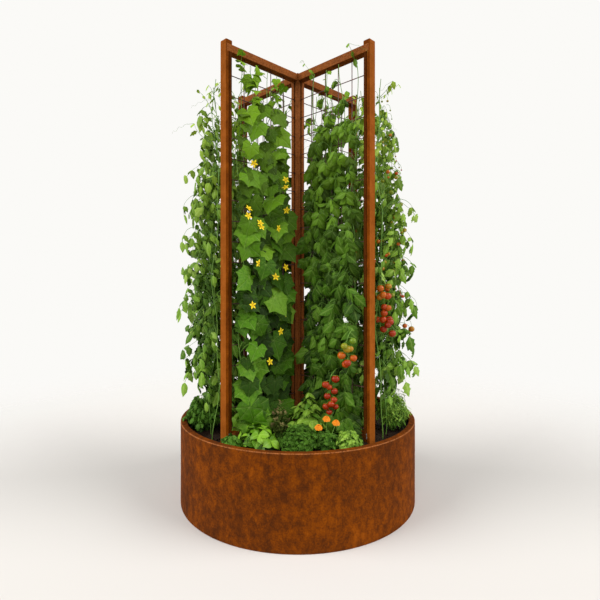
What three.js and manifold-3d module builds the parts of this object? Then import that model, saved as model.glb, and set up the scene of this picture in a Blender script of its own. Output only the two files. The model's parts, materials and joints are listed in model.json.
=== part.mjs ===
// Round weathering-steel planter with a cross-shaped trellis, soil, climbing plants and herbs.
// Millimetres, +Z up. Origin: centre of the drum on the floor. The front of the planter faces -Y.

import * as THREE from 'three';
import { mergeVertices } from 'three/addons/utils/BufferGeometryUtils.js';
import Module from 'manifold-3d';

const wasm = await Module();
wasm.setup();

// ---- driving dimensions: drum and fillings ----
const drumRadius = 600;
const drumHeight = 405;
const drumWall = 3;
const drumSides = 60;
const lipWidth = 30;          // flat lip folded inwards at the top
const footWidth = 30;         // the same fold at the bottom, under the base plate
const lipRound = 4;           // bend radius at the outer top edge
const basePlateThickness = 3;
const drainHoleRadius = 12;
const drainHoleCount = 5;
const drainCircleRadius = 300;
const gravelDepth = 60;
const soilDrop = 50;          // soil surface below the top of the lip

// ---- driving dimensions: trellis ----
const armAngles = { front_left: 225, front_right: 315, back_right: 45, back_left: 135 };
const postRadius = 463;       // centre of the drum to the centre of an outer post
const postWidth = 42;         // across the arm
const postDepth = 35;         // along the arm
const postWall = 4;
const postFace = 15;          // plain flange on the outward side
const grooveWidth = 9;        // slot in each side face
const grooveDepth = 7;
const stripSetback = 2;       // the strip beside the mesh stands back from the face
const corePost = 48;          // square post at the centre
const coreRim = 26;           // its foot plate stands out this far
const railTop = 2180;
const railHeight = 35;
const bottomRailHeight = 25;
const bottomRailWidth = 30;
const bottomRailLift = 20;    // above the soil
const capHeight = 20;
const capChamfer = 3;
const corePeak = 9;           // rise of the low cap at the centre
const corePeakShare = 1 / 3;  // flat top of that cap, in shares of its width
const coreCapSkirt = 3;

// ---- driving dimensions: mesh, feet and fixings ----
const wire = 5;
const wireColumns = 4;
const wirePitch = 96;         // height from one level wire to the next
const weldSink = 1;           // how far crossing wires are melted into each other
const footPlate = 110;
const footPlateThickness = 5;
const spigotHeight = 440;     // top of the bar that stands inside a post
const boltRadius = 2.5;
const boltHeadRadius = 4;
const boltHeadHeight = 3;
const boltPitch = 18;
const boltLift = 34;          // middle of the bolt pair above the soil
const boltStrip = 1.5;        // locking strip under the two heads
const fitGap = 0.3;           // clearance between parts that touch in use

// ---- derived sizes ----
const soilTop = drumHeight - soilDrop;
const plateBottom = drumWall;
const plateTop = plateBottom + basePlateThickness;
const gravelTop = plateTop + gravelDepth;
const fillRadius = drumRadius - drumWall - fitGap;
const footTop = plateTop + footPlateThickness;
const railBottom = railTop - railHeight;
const postOuter = postRadius + postDepth / 2;
const postInner = postRadius - postDepth / 2;
const coreFace = corePost / 2;
const coreFoot = corePost + 2 * coreRim;
const freeMesh = postInner - coreFace;    // run of the mesh between two posts
const railWidth = postWidth;
const bottomRailBase = soilTop + bottomRailLift;
const meshBottom = bottomRailBase + bottomRailHeight + fitGap;
const meshTop = railBottom - fitGap;
const webHalf = postWidth / 2 - grooveDepth;
const spigotHalfWidth = webHalf - postWall - fitGap;
const spigotDepth = postDepth - 2 * (postWall + fitGap);
const grooveCentre = postDepth / 2 - postFace - grooveWidth / 2;
const boltHeight = soilTop + boltLift;

// ---- finishes ----
const rust = new THREE.MeshStandardMaterial({ color: 0x7c4118, roughness: 0.85, metalness: 0.2 });
const rustLight = new THREE.MeshStandardMaterial({ color: 0x93501f, roughness: 0.8, metalness: 0.2 });
const wireSteel = new THREE.MeshStandardMaterial({ color: 0x5c4340, roughness: 0.6, metalness: 0.5 });
const zincSteel = new THREE.MeshStandardMaterial({ color: 0x8d8c88, roughness: 0.4, metalness: 0.8 });
const gravelStone = new THREE.MeshStandardMaterial({ color: 0x8b8377, roughness: 0.95 });
const darkSoil = new THREE.MeshStandardMaterial({ color: 0x24160c, roughness: 1 });
const leafGreen = new THREE.MeshStandardMaterial({ color: 0x3f7a1e, roughness: 0.6 });
const leafDeep = new THREE.MeshStandardMaterial({ color: 0x2f6419, roughness: 0.6 });
const leafBright = new THREE.MeshStandardMaterial({ color: 0x63982a, roughness: 0.5 });
const leafPurple = new THREE.MeshStandardMaterial({ color: 0x5c4a35, roughness: 0.7 });
const ripeFruit = new THREE.MeshStandardMaterial({ color: 0xb8351a, roughness: 0.3 });

// ---- solids ----
const vector = (x, y, z) => new THREE.Vector3(x, y, z);

// A closed geometry becomes a solid; an inside-out one is turned round first.
function solidOf(geometry) {
  const bare = new THREE.BufferGeometry();
  bare.setAttribute('position', geometry.getAttribute('position').clone());
  if (geometry.index) bare.setIndex(geometry.index.clone());
  const merged = mergeVertices(bare, 1e-3);
  const points = merged.getAttribute('position').array;
  const corners = merged.index.array;
  return solidFrom(Array.from(points), Array.from(corners));
}

// Six times the volume that a list of triangles encloses.
function enclosed(points, corners) {
  const at = (index) => vector(points[3 * index], points[3 * index + 1], points[3 * index + 2]);
  let total = 0;
  for (let i = 0; i < corners.length; i += 3) {
    total += at(corners[i]).dot(at(corners[i + 1]).cross(at(corners[i + 2])));
  }
  return total;
}

// Flat number lists of corners and triangles become a solid. Triangles with two like corners go.
function solidFrom(points, corners) {
  const kept = [];
  for (let i = 0; i < corners.length; i += 3) {
    const [a, b, c] = corners.slice(i, i + 3);
    if (a !== b && b !== c && c !== a) kept.push(a, b, c);
  }
  if (enclosed(points, kept) < 0) kept.reverse();
  const mesh = new wasm.Mesh({
    numProp: 3,
    vertProperties: new Float32Array(points),
    triVerts: new Uint32Array(kept),
  });
  return new wasm.Manifold(mesh);
}

function geometryOf(solid) {
  const mesh = solid.getMesh();
  const geometry = new THREE.BufferGeometry();
  const points = [];
  for (let i = 0; i < mesh.vertProperties.length; i += mesh.numProp) {
    points.push(...mesh.vertProperties.slice(i, i + 3));
  }
  geometry.setAttribute('position', new THREE.Float32BufferAttribute(points, 3));
  geometry.setIndex(Array.from(mesh.triVerts));
  geometry.computeVertexNormals();
  return geometry;
}

const unite = (solids) => wasm.Manifold.union(solids);

function block(from, to) {
  const size = to.clone().sub(from);
  const box = new THREE.BoxGeometry(size.x, size.y, size.z);
  const middle = from.clone().add(to).multiplyScalar(0.5);
  return solidOf(box.translate(middle.x, middle.y, middle.z));
}

// A turned ring or disc: [radius, height] points round the Z axis.
function turned(outline, sides = drumSides) {
  const profile = outline.map(([radius, height]) => new THREE.Vector2(radius, height));
  return solidOf(new THREE.LatheGeometry(profile, sides).rotateX(Math.PI / 2));
}

const disc = (radius, low, high, sides) =>
  turned([[0, low], [radius, low], [radius, high], [0, high]], sides);

function namedMesh(name, solid, material) {
  const mesh = new THREE.Mesh(geometryOf(solid), material);
  mesh.name = name;
  return mesh;
}

const planter = new THREE.Group();

// Each arm of the cross is a group turned about Z: its own +X runs outwards along the arm.
const arms = {};
for (const [side, degrees] of Object.entries(armAngles)) {
  arms[side] = new THREE.Group();
  arms[side].rotation.z = THREE.MathUtils.degToRad(degrees);
  planter.add(arms[side]);
}

function onEachArm(name, material, make) {
  const solid = make();
  for (const side of Object.keys(arms)) {
    arms[side].add(namedMesh(`${name}_${side}`, solid, material));
  }
}

// Openings for everything of the trellis that stands in a filling, one set for all four arms.
function trellisFootprint(low, high, room = fitGap) {
  const halfWidth = postWidth / 2 + room;
  const cuts = [block(
    vector(-coreFace - room, -coreFace - room, low),
    vector(coreFace + room, coreFace + room, high),
  ).rotate([0, 0, armAngles.front_left])];
  for (const degrees of Object.values(armAngles)) {
    const post = block(
      vector(postInner - room, -halfWidth, low),
      vector(postOuter + room, halfWidth, high),
    );
    cuts.push(post.rotate([0, 0, degrees]));
  }
  return unite(cuts);
}

// ---- drum ----
function drumShell() {
  const inner = drumRadius - drumWall;
  const lipUnderside = drumHeight - drumWall;
  return turned([
    [drumRadius - lipWidth, lipUnderside],
    [inner, lipUnderside],
    [inner, drumWall],
    [drumRadius - footWidth, drumWall],
    [drumRadius - footWidth, 0],
    [drumRadius, 0],
    [drumRadius, drumHeight - lipRound],
    [drumRadius - lipRound, drumHeight],
    [drumRadius - lipWidth, drumHeight],
    [drumRadius - lipWidth, lipUnderside],
  ]);
}

function basePlate() {
  const holes = [];
  for (let i = 0; i < drainHoleCount; i += 1) {
    const turn = (2 * Math.PI * i) / drainHoleCount;
    const hole = disc(drainHoleRadius, 0, plateTop + 1, 8);
    holes.push(hole.translate([
      drainCircleRadius * Math.cos(turn),
      drainCircleRadius * Math.sin(turn),
      0,
    ]));
  }
  return disc(fillRadius, plateBottom, plateTop, drumSides).subtract(unite(holes));
}

function footPlates(low, high, room) {
  const plates = [block(
    vector(-coreFoot / 2 - room, -coreFoot / 2 - room, low),
    vector(coreFoot / 2 + room, coreFoot / 2 + room, high),
  ).rotate([0, 0, armAngles.front_left])];
  const half = footPlate / 2 + room;
  for (const degrees of Object.values(armAngles)) {
    const plate = block(
      vector(postRadius - half, -half, low),
      vector(postRadius + half, half, high),
    );
    plates.push(plate.rotate([0, 0, degrees]));
  }
  return unite(plates);
}

function gravelLayer() {
  return disc(fillRadius, plateTop, gravelTop, drumSides)
    .subtract(footPlates(0, footTop + fitGap, fitGap))
    .subtract(trellisFootprint(0, gravelTop + 1));
}

function soilBody() {
  return disc(fillRadius, gravelTop, soilTop, drumSides)
    .subtract(trellisFootprint(0, drumHeight));
}

planter.add(
  namedMesh('drum_shell', drumShell(), rust),
  namedMesh('base_plate', basePlate(), rust),
  namedMesh('drainage_gravel', gravelLayer(), gravelStone),
  namedMesh('soil', soilBody(), darkSoil),
);

// ---- posts ----
// Section of a post: a plain flange, a slot in each side, and a strip that stands back a little.
// x runs along the arm with the flange at the +x end; inset moves the outline inwards by a wall.
function postOutline(inset) {
  const end = postDepth / 2 - inset;
  const side = postWidth / 2 - inset;
  const web = webHalf - inset;
  const strip = postWidth / 2 - stripSetback - inset;
  const grooveOuter = postDepth / 2 - postFace + inset;
  const grooveInner = grooveOuter - grooveWidth - 2 * inset;
  const half = [
    [end, side], [grooveOuter, side], [grooveOuter, web],
    [grooveInner, web], [grooveInner, strip], [-end, strip],
  ];
  const mirrored = half.map(([x, y]) => [x, -y]).reverse();
  return half.concat(mirrored).map(([x, y]) => new THREE.Vector2(x, y));
}

function postSection(low, high) {
  const shape = new THREE.Shape(postOutline(0));
  shape.holes.push(new THREE.Path(postOutline(postWall)));
  const geometry = new THREE.ExtrudeGeometry(shape, { depth: high - low, bevelEnabled: false });
  return solidOf(geometry.translate(0, 0, low));
}

// Holes for the two fixing bolts, in the slot on the +Y or -Y side of a post.
function boltHoles(sideSign, from, to, room) {
  const holes = [-0.5, 0.5].map((place) => {
    const hole = disc(boltRadius + room, from, to, 8).rotate([-90 * sideSign, 0, 0]);
    return hole.translate([grooveCentre, 0, boltHeight + place * boltPitch]);
  });
  return unite(holes);
}

// The bolt heads of all four posts look into the front or the back bay.
const boltSide = { front_left: 1, front_right: -1, back_right: 1, back_left: -1 };

for (const [side, arm] of Object.entries(arms)) {
  const sign = boltSide[side];
  const section = postSection(footTop, railBottom);
  const tongue = block(
    vector(postDepth / 2 - postWall, -postWidth / 2, railBottom - 1),
    vector(postDepth / 2, postWidth / 2, railTop),
  );
  const post = unite([section, tongue]).subtract(boltHoles(sign, 0, postWidth, fitGap));
  arm.add(namedMesh(`post_${side}`, post.translate([postRadius, 0, 0]), rustLight));

  const spigot = unite([
    block(vector(-footPlate / 2, -footPlate / 2, plateTop), vector(footPlate / 2, footPlate / 2, footTop)),
    block(
      vector(-spigotDepth / 2, -spigotHalfWidth, footTop - 1),
      vector(spigotDepth / 2, spigotHalfWidth, spigotHeight),
    ),
  ]).subtract(boltHoles(sign, 0, postWidth, fitGap));
  arm.add(namedMesh(`post_spigot_${side}`, spigot.translate([postRadius, 0, 0]), rust));

  const stripLow = boltHeight - boltPitch / 2 - boltHeadRadius;
  const stripHigh = boltHeight + boltPitch / 2 + boltHeadRadius;
  const seat = webHalf + fitGap;
  const edges = [sign * seat, sign * (seat + boltStrip)].sort((a, b) => a - b);
  const heads = [-0.5, 0.5].map((place) => {
    const head = disc(boltHeadRadius, seat, seat + boltStrip + boltHeadHeight, 6);
    const turnedHead = head.rotate([-90 * sign, 0, 0]);
    return turnedHead.translate([grooveCentre, 0, boltHeight + place * boltPitch]);
  });
  const bolts = unite([
    block(
      vector(grooveCentre - boltHeadRadius, edges[0], stripLow),
      vector(grooveCentre + boltHeadRadius, edges[1], stripHigh),
    ),
    boltHoles(sign, 1, seat + 1, 0),
    ...heads,
  ]);
  arm.add(namedMesh(`fixing_bolts_${side}`, bolts.translate([postRadius, 0, 0]), zincSteel));
}

onEachArm('post_cap', rustLight, () => {
  const shape = new THREE.Shape([
    new THREE.Vector2(-postDepth / 2 + capChamfer, -postWidth / 2 + capChamfer),
    new THREE.Vector2(postDepth / 2 - capChamfer, -postWidth / 2 + capChamfer),
    new THREE.Vector2(postDepth / 2 - capChamfer, postWidth / 2 - capChamfer),
    new THREE.Vector2(-postDepth / 2 + capChamfer, postWidth / 2 - capChamfer),
  ]);
  const rounded = new THREE.ExtrudeGeometry(shape, {
    depth: capHeight - 2 * capChamfer,
    bevelThickness: capChamfer,
    bevelSize: capChamfer,
    bevelSegments: 1,
  }).translate(postRadius, 0, railTop + capChamfer);
  const foot = block(
    vector(postInner, -postWidth / 2, railTop),
    vector(postOuter, postWidth / 2, railTop + 2 * capChamfer),
  );
  return unite([solidOf(rounded), foot]);
});

// ---- centre post ----
const coreBore = coreFace - grooveDepth - postWall;
const coreSlot = 2 * wire;

// A square bar, bored, with a slot down the middle of each side for the edge of a mesh panel.
function slottedCore(low, high) {
  const bar = block(vector(-coreFace, -coreFace, low), vector(coreFace, coreFace, high));
  const cuts = [block(vector(-coreBore, -coreBore, low - 1), vector(coreBore, coreBore, high + 1))];
  for (let side = 0; side < 4; side += 1) {
    const slot = block(
      vector(coreFace - grooveDepth, -coreSlot / 2, low - 1),
      vector(corePost, coreSlot / 2, high + 1),
    );
    cuts.push(slot.rotate([0, 0, 90 * side]));
  }
  return bar.subtract(unite(cuts));
}

function coreCap() {
  const half = coreFace;
  const skirtTop = railTop + coreCapSkirt;
  const low = [[-half, -half], [half, -half], [half, half], [-half, half]];
  const high = low.map(([x, y]) => [x * corePeakShare, y * corePeakShare]);
  const rings = [
    ...low.map(([x, y]) => [x, y, railTop]),
    ...low.map(([x, y]) => [x, y, skirtTop]),
    ...high.map(([x, y]) => [x, y, railTop + corePeak]),
  ];
  const corners = [0, 2, 1, 0, 3, 2, 8, 9, 10, 8, 10, 11];
  for (let ring = 0; ring < 2; ring += 1) {
    for (let i = 0; i < 4; i += 1) {
      const a = 4 * ring + i;
      const b = 4 * ring + ((i + 1) % 4);
      corners.push(a, b, b + 4, a, b + 4, a + 4);
    }
  }
  return solidFrom(rings.flat(), corners);
}

const coreGroup = arms.front_left;
coreGroup.add(
  namedMesh('centre_post', slottedCore(footTop, railTop), rustLight),
  namedMesh('centre_cap', coreCap(), rustLight),
);

function coreFootPlate() {
  const half = coreFoot / 2;
  const bar = coreBore - fitGap;
  return unite([
    block(vector(-half, -half, plateTop), vector(half, half, footTop)),
    block(vector(-bar, -bar, footTop - 1), vector(bar, bar, spigotHeight)),
  ]);
}
coreGroup.add(namedMesh('centre_spigot', coreFootPlate(), rust));

// ---- rails ----
// A hollow bar along the arm, open at both ends.
function railBar(from, to, width, low, high) {
  const outer = block(vector(from, -width / 2, low), vector(to, width / 2, high));
  const bore = block(
    vector(from - 1, -width / 2 + drumWall, low + drumWall),
    vector(to + 1, width / 2 - drumWall, high - drumWall),
  );
  return outer.subtract(bore);
}

onEachArm('top_rail', rustLight, () =>
  railBar(coreFace + fitGap, postOuter - postWall - fitGap, railWidth, railBottom, railTop));

onEachArm('bottom_rail', rustLight, () =>
  railBar(
    coreFace + fitGap,
    postInner - fitGap,
    bottomRailWidth,
    bottomRailBase,
    bottomRailBase + bottomRailHeight,
  ));

// ---- welded wire mesh: upright wires in one layer, level wires welded across them ----
// The level wires run into the slot of the centre post.
onEachArm('mesh_panel', wireSteel, () => {
  const start = coreFace - grooveDepth + fitGap;
  const end = postInner - fitGap;
  const bars = [];
  for (let i = 1; i <= wireColumns; i += 1) {
    const x = coreFace + (freeMesh * i) / (wireColumns + 1);
    bars.push(block(
      vector(x - wire / 2, -weldSink / 2, meshBottom),
      vector(x + wire / 2, wire - weldSink / 2, meshTop),
    ));
  }
  for (let z = meshTop - wirePitch; z > meshBottom + wire; z -= wirePitch) {
    bars.push(block(
      vector(start, weldSink / 2 - wire, z - wire / 2),
      vector(end, weldSink / 2, z + wire / 2),
    ));
  }
  return unite(bars);
});

// ---- plants ----
// Places in a bay between two arms are given as [out, across, z]: out runs from the centre through
// the middle of the bay, across runs along it, and each bay's group turns that to its own side.
const bayAngles = { front: 270, right: 0, back: 90, left: 180 };
const bays = {};
for (const [name, degrees] of Object.entries(bayAngles)) {
  bays[name] = new THREE.Group();
  bays[name].rotation.z = THREE.MathUtils.degToRad(degrees);
  planter.add(bays[name]);
}

const goldenAngle = Math.PI * (3 - Math.sqrt(5));
const plantGap = 4;           // clearance between a climber and the posts and rails beside it
const stemRadius = 9;
const canopyGap = 60;         // from the climbers' top up to the top of the rails
const canopyTop = railTop - canopyGap;
const leafPitch = 150;                    // height of one tier of a climber's leaves
const leafDroop = 0.3;                    // how far a leaf tip hangs, in shares of a tier
// Broad leaves, of a cucumber: low tiers whose tips hang far, cut back deeper off the arm.
const broadLeaves = { pitch: 112, droop: 0.42, relief: 2.2 };
const bareStem = 75;                      // from the soil up to the first leaves of a climber
const lowestTier = soilTop + bareStem;
const leafWaist = 0.62;                   // foliage between two tiers, in shares of its reach
const leafNotch = 0.74;                   // foliage between two leaf tips of a tier
const fruitRadius = 17;
const trussStalkRadius = 3;
const trussSpread = 13;                   // fruit centres off the truss stalk

// The envelope of a plant is a list of rows { z, middle, along, reach, depth }: an ellipse at each
// height, with its long half axis along one direction. Between rows it changes evenly.
function envelopeAt(rows, z) {
  const next = Math.max(1, rows.findIndex((row) => row.z >= z));
  const [low, high] = [rows[next - 1], rows[next]];
  const share = THREE.MathUtils.clamp((z - low.z) / (high.z - low.z), 0, 1);
  const blend = (key) => THREE.MathUtils.lerp(low[key], high[key], share);
  return {
    middle: low.middle.clone().lerp(high.middle, share),
    along: low.along,
    reach: blend('reach'),
    depth: blend('depth'),
  };
}

// One ring of corners round an envelope; share(i) is how far out corner i stands, drop(i) how low.
// relief above 1 brings the corners between the tips closer in across the envelope than along it.
function ringAt(rows, z, count, turn, share, drop, relief = 1) {
  const { middle, along, reach, depth } = envelopeAt(rows, z);
  const across = new THREE.Vector2(-along.y, along.x);
  const ring = [];
  for (let i = 0; i < count; i += 1) {
    const angle = (2 * Math.PI * (i + turn)) / count;
    const place = middle.clone()
      .addScaledVector(along, reach * share(i) * Math.cos(angle))
      .addScaledVector(across, depth * share(i) ** relief * Math.sin(angle));
    ring.push([place.x, place.y, z - drop(i)]);
  }
  return ring;
}

// Rings of like count become a closed skin with a flat foot and a point on top.
function skin(rings, peak) {
  const count = rings[0].length;
  const corners = [];
  for (let i = 1; i < count - 1; i += 1) corners.push(0, i + 1, i);
  for (let level = 0; level < rings.length - 1; level += 1) {
    for (let i = 0; i < count; i += 1) {
      const a = level * count + i;
      const b = level * count + ((i + 1) % count);
      corners.push(a, b, b + count, a, b + count, a + count);
    }
  }
  const top = (rings.length - 1) * count;
  for (let i = 0; i < count; i += 1) {
    corners.push(top + i, top + ((i + 1) % count), rings.length * count);
  }
  return solidFrom([...rings.flat(2), ...peak], corners);
}

// Foliage: a bare stem out of the soil, then tiers of drooping leaf tips up an envelope.
function foliage({ rows, tips, pitch, phase = 0, droop = leafDroop, relief = 1 }) {
  const count = 2 * tips;
  const flat = () => 0;
  const low = rows[0].z;
  const high = rows.at(-1).z;
  const stem = (z) => {
    const { reach, depth } = envelopeAt(rows, z);
    const round = { ...envelopeAt(rows, low), reach: stemRadius, depth: stemRadius };
    const share = Math.min(1, Math.min(reach, depth) / (2 * stemRadius));
    return ringAt([{ ...round, z }, { ...round, z: z + 1 }], z, count, 0, () => share, flat);
  };
  const rings = [stem(soilTop + fitGap), stem(low - pitch * droop)];
  const tiers = Math.max(1, Math.round((high - low) / pitch));
  const step = (high - low) / tiers;
  for (let tier = 0; tier < tiers; tier += 1) {
    const z = low + tier * step;
    const turn = 0.5 * (tier % 2) + 0.35 * Math.sin(tier * goldenAngle + phase);
    const tip = (i) => 1 - 0.14 * (0.5 + 0.5 * Math.sin(3.1 * i + 1.7 * tier + phase));
    const isTip = (i) => i % 2 === tier % 2;
    rings.push(ringAt(rows, z, count, turn, (i) => (isTip(i) ? tip(i) : leafNotch),
      (i) => (isTip(i) ? droop * step * tip(i) : 0), relief));
    rings.push(ringAt(rows, z + 0.5 * step, count, turn, () => leafWaist, flat, relief));
  }
  const top = envelopeAt(rows, high).middle;
  return skin(rings, [top.x, top.y, high + 0.2 * step]);
}

// Foliage beside an arm: [share of the climb, its middle along the free mesh, half its run along
// it, half its depth off it], the last three in shares of the free mesh. Low down it is shallow,
// to leave the bay to the herbs.
const armRows = [
  [0, 0.55, 0.33, 0.043],
  [0.083, 0.56, 0.36, 0.05],
  [0.13, 0.58, 0.395, 0.09],
  [0.34, 0.585, 0.4, 0.1],
  [0.63, 0.58, 0.4, 0.095],
  [0.84, 0.58, 0.36, 0.071],
  [1, 0.58, 0.26, 0.033],
];
// Foliage on the open side of a bay: [share of the climb, where it starts and ends on the way out,
// half its width across], the last three in shares of the drum's radius.
const sideRows = [
  [0, 0.317, 0.633, 0.125],
  [0.083, 0.35, 0.65, 0.133],
  [0.136, 0.483, 0.95, 0.192],
  [0.4, 0.483, 0.962, 0.197],
  [0.63, 0.475, 0.933, 0.187],
  [0.84, 0.45, 0.875, 0.163],
  [1, 0.5, 0.758, 0.1],
];
const climb = (share) => THREE.MathUtils.lerp(lowestTier, canopyTop, share);

function armFoliage(half, tips, phase) {
  const along = new THREE.Vector2(Math.SQRT1_2, half * Math.SQRT1_2);
  const off = new THREE.Vector2(Math.SQRT1_2, -half * Math.SQRT1_2);
  const rows = armRows.map(([share, run, reach, depth]) => ({
    z: climb(share),
    middle: along.clone().multiplyScalar(coreFace + run * freeMesh)
      .addScaledVector(off, postWidth / 2 + plantGap + depth * freeMesh),
    along,
    reach: reach * freeMesh,
    depth: depth * freeMesh,
  }));
  return { rows, tips, pitch: leafPitch, phase };
}

// Half of the open side of the left or the right bay, bulging out to the drum's own outline.
function sideFoliage(half, tips, phase) {
  const along = new THREE.Vector2(1, 0);
  const rows = sideRows.map(([share, from, to, width]) => ({
    z: climb(share),
    middle: new THREE.Vector2(
      ((from + to) / 2) * drumRadius,
      half * (width * drumRadius + plantGap),
    ),
    along,
    reach: ((to - from) / 2) * drumRadius,
    depth: width * drumRadius,
  }));
  return { rows, tips, pitch: leafPitch, phase };
}

// A bar between two places, for the stalk of a truss or a flower.
function stalk(from, to, radius, sides = 3) {
  const ring = [];
  for (let i = 0; i < sides; i += 1) {
    const turn = (2 * Math.PI * i) / sides;
    ring.push(new THREE.Vector2(radius * Math.cos(turn), radius * Math.sin(turn)));
  }
  const path = new THREE.LineCurve3(from, to);
  return solidOf(new THREE.ExtrudeGeometry(new THREE.Shape(ring), { extrudePath: path, steps: 1 }));
}

// A truss grows out of the foliage and hangs in front of it, its fruit round the stalk.
// Room swells it, for the seat that it leaves in its climber.
function fruitTruss({ at, from, drop, count, rows }, room) {
  const knee = vector(...at, from);
  const { middle } = envelopeAt(rows, from);
  const start = knee.clone().lerp(vector(middle.x, middle.y, from + 25), 0.75);
  const end = knee.clone().add(vector(0, 0, -drop));
  const radius = trussStalkRadius + room;
  const parts = [stalk(start, knee, radius), stalk(knee, end, radius)];
  for (let i = 0; i < count; i += 1) {
    const turn = 2 * i * goldenAngle;
    const fruit = new THREE.IcosahedronGeometry(fruitRadius + room, 0);
    fruit.translate(
      knee.x + trussSpread * Math.cos(turn),
      knee.y + trussSpread * Math.sin(turn),
      knee.z - 0.5 * fruitRadius - ((drop - 0.5 * fruitRadius) * i) / (count - 1),
    );
    parts.push(solidOf(fruit));
  }
  return unite(parts);
}

const climbers = {
  cucumber_front: {
    bay: 'front', plant: { ...armFoliage(-1, 6, 0.4), ...broadLeaves }, finish: leafGreen,
  },
  tomato_front: { bay: 'front', plant: armFoliage(1, 5, 1.1), finish: leafDeep },
  tomato_right_front: { bay: 'right', plant: sideFoliage(-1, 6, 2.2), finish: leafDeep },
  tomato_right_back: { bay: 'right', plant: sideFoliage(1, 6, 3.7), finish: leafDeep },
  bean_left_front: { bay: 'left', plant: sideFoliage(1, 6, 4.1), finish: leafGreen },
  bean_left_back: { bay: 'left', plant: sideFoliage(-1, 6, 5.9), finish: leafGreen },
  bean_back_left: { bay: 'back', plant: armFoliage(1, 5, 7.3), finish: leafGreen },
  cucumber_back_right: {
    bay: 'back', plant: { ...armFoliage(-1, 6, 8.8), ...broadLeaves }, finish: leafGreen,
  },
};
// Places in shares of the drum's radius; from is a share of the climb, drop a share of the radius.
const trusses = {
  front_upper: { on: 'tomato_front', at: [0.673, 0.368], from: 0.249, drop: 0.167, count: 5 },
  front_lower: { on: 'tomato_front', at: [0.567, 0.26], from: 0.136, drop: 0.217, count: 6 },
  right: { on: 'tomato_right_front', at: [0.687, -0.447], from: 0.396, drop: 0.4, count: 9 },
};
for (const [name, { bay, plant, finish }] of Object.entries(climbers)) {
  let solid = foliage(plant);
  for (const [place, truss] of Object.entries(trusses)) {
    if (truss.on !== name) continue;
    const spec = {
      at: truss.at.map((share) => share * drumRadius),
      from: climb(truss.from),
      drop: truss.drop * drumRadius,
      count: truss.count,
      rows: plant.rows,
    };
    solid = solid.subtract(fruitTruss(spec, fitGap));
    bays[bay].add(namedMesh(`fruit_truss_${place}`, fruitTruss(spec, 0), ripeFruit));
  }
  bays[bay].add(namedMesh(name, solid, finish));
}

// ---- herbs ----
// A herb is a low tuft of the same leaf tiers, round in plan, wide at the middle.
function herbTuft({ at, radius, height, tips, flowers = 0 }) {
  const middle = new THREE.Vector2(...at);
  const along = new THREE.Vector2(1, 0);
  const row = (share, reach) => ({
    z: soilTop + share * height, middle, along, reach: reach * radius, depth: reach * radius,
  });
  const rows = [row(0.16, 0.85), row(0.45, 1), row(0.75, 0.8), row(0.97, 0.35)];
  const parts = [foliage({ rows, tips, pitch: 0.27 * height, phase: at[0] })];
  for (let i = 0; i < flowers; i += 1) {
    const turn = 2.1 * i + 0.4;
    const head = vector(
      at[0] + 0.45 * radius * Math.cos(turn),
      at[1] + 0.45 * radius * Math.sin(turn),
      soilTop + height,
    );
    const foot = vector(...at, soilTop + 0.4 * height);
    parts.push(stalk(foot, head, trussStalkRadius));
    parts.push(disc(bloomRadius, -bloomHeight, bloomHeight, 7).translate(head.toArray()));
  }
  return unite(parts);
}

const bloomRadius = 19;
const bloomHeight = 6;
// Places, radius and height above the soil in shares of the drum's radius.
const herbs = {
  basil: { bay: 'front', at: [0.667, -0.283], radius: 0.147, height: 0.233, tips: 5, finish: leafBright },
  purple_basil: {
    bay: 'front', at: [0.437, -0.147], radius: 0.092, height: 0.308, tips: 4, finish: leafPurple,
  },
  sweet_pepper: {
    bay: 'front', at: [0.417, 0.067], radius: 0.127, height: 0.392, tips: 5, finish: leafBright,
  },
  parsley: { bay: 'front', at: [0.713, 0], radius: 0.133, height: 0.217, tips: 6, finish: leafGreen },
  marigold: {
    bay: 'front', at: [0.66, 0.213], radius: 0.087, height: 0.208, tips: 4, flowers: 3,
    finish: leafGreen,
  },
  celery: { bay: 'front', at: [0.68, 0.373], radius: 0.07, height: 0.183, tips: 4, finish: leafGreen },
  lovage: { bay: 'front', at: [0.69, -0.48], radius: 0.063, height: 0.15, tips: 4, finish: leafGreen },
  tarragon: {
    bay: 'right', at: [0.792, -0.183], radius: 0.13, height: 0.358, tips: 6, finish: leafBright,
  },
  fennel: { bay: 'left', at: [0.792, 0.175], radius: 0.13, height: 0.3, tips: 6, finish: leafGreen },
};
for (const [name, { bay, finish, ...spec }] of Object.entries(herbs)) {
  const tuft = herbTuft({
    ...spec,
    at: spec.at.map((share) => share * drumRadius),
    radius: spec.radius * drumRadius,
    height: spec.height * drumRadius,
  });
  bays[bay].add(namedMesh(name, tuft, finish));
}

export default planter;
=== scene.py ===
import json
import math

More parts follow.
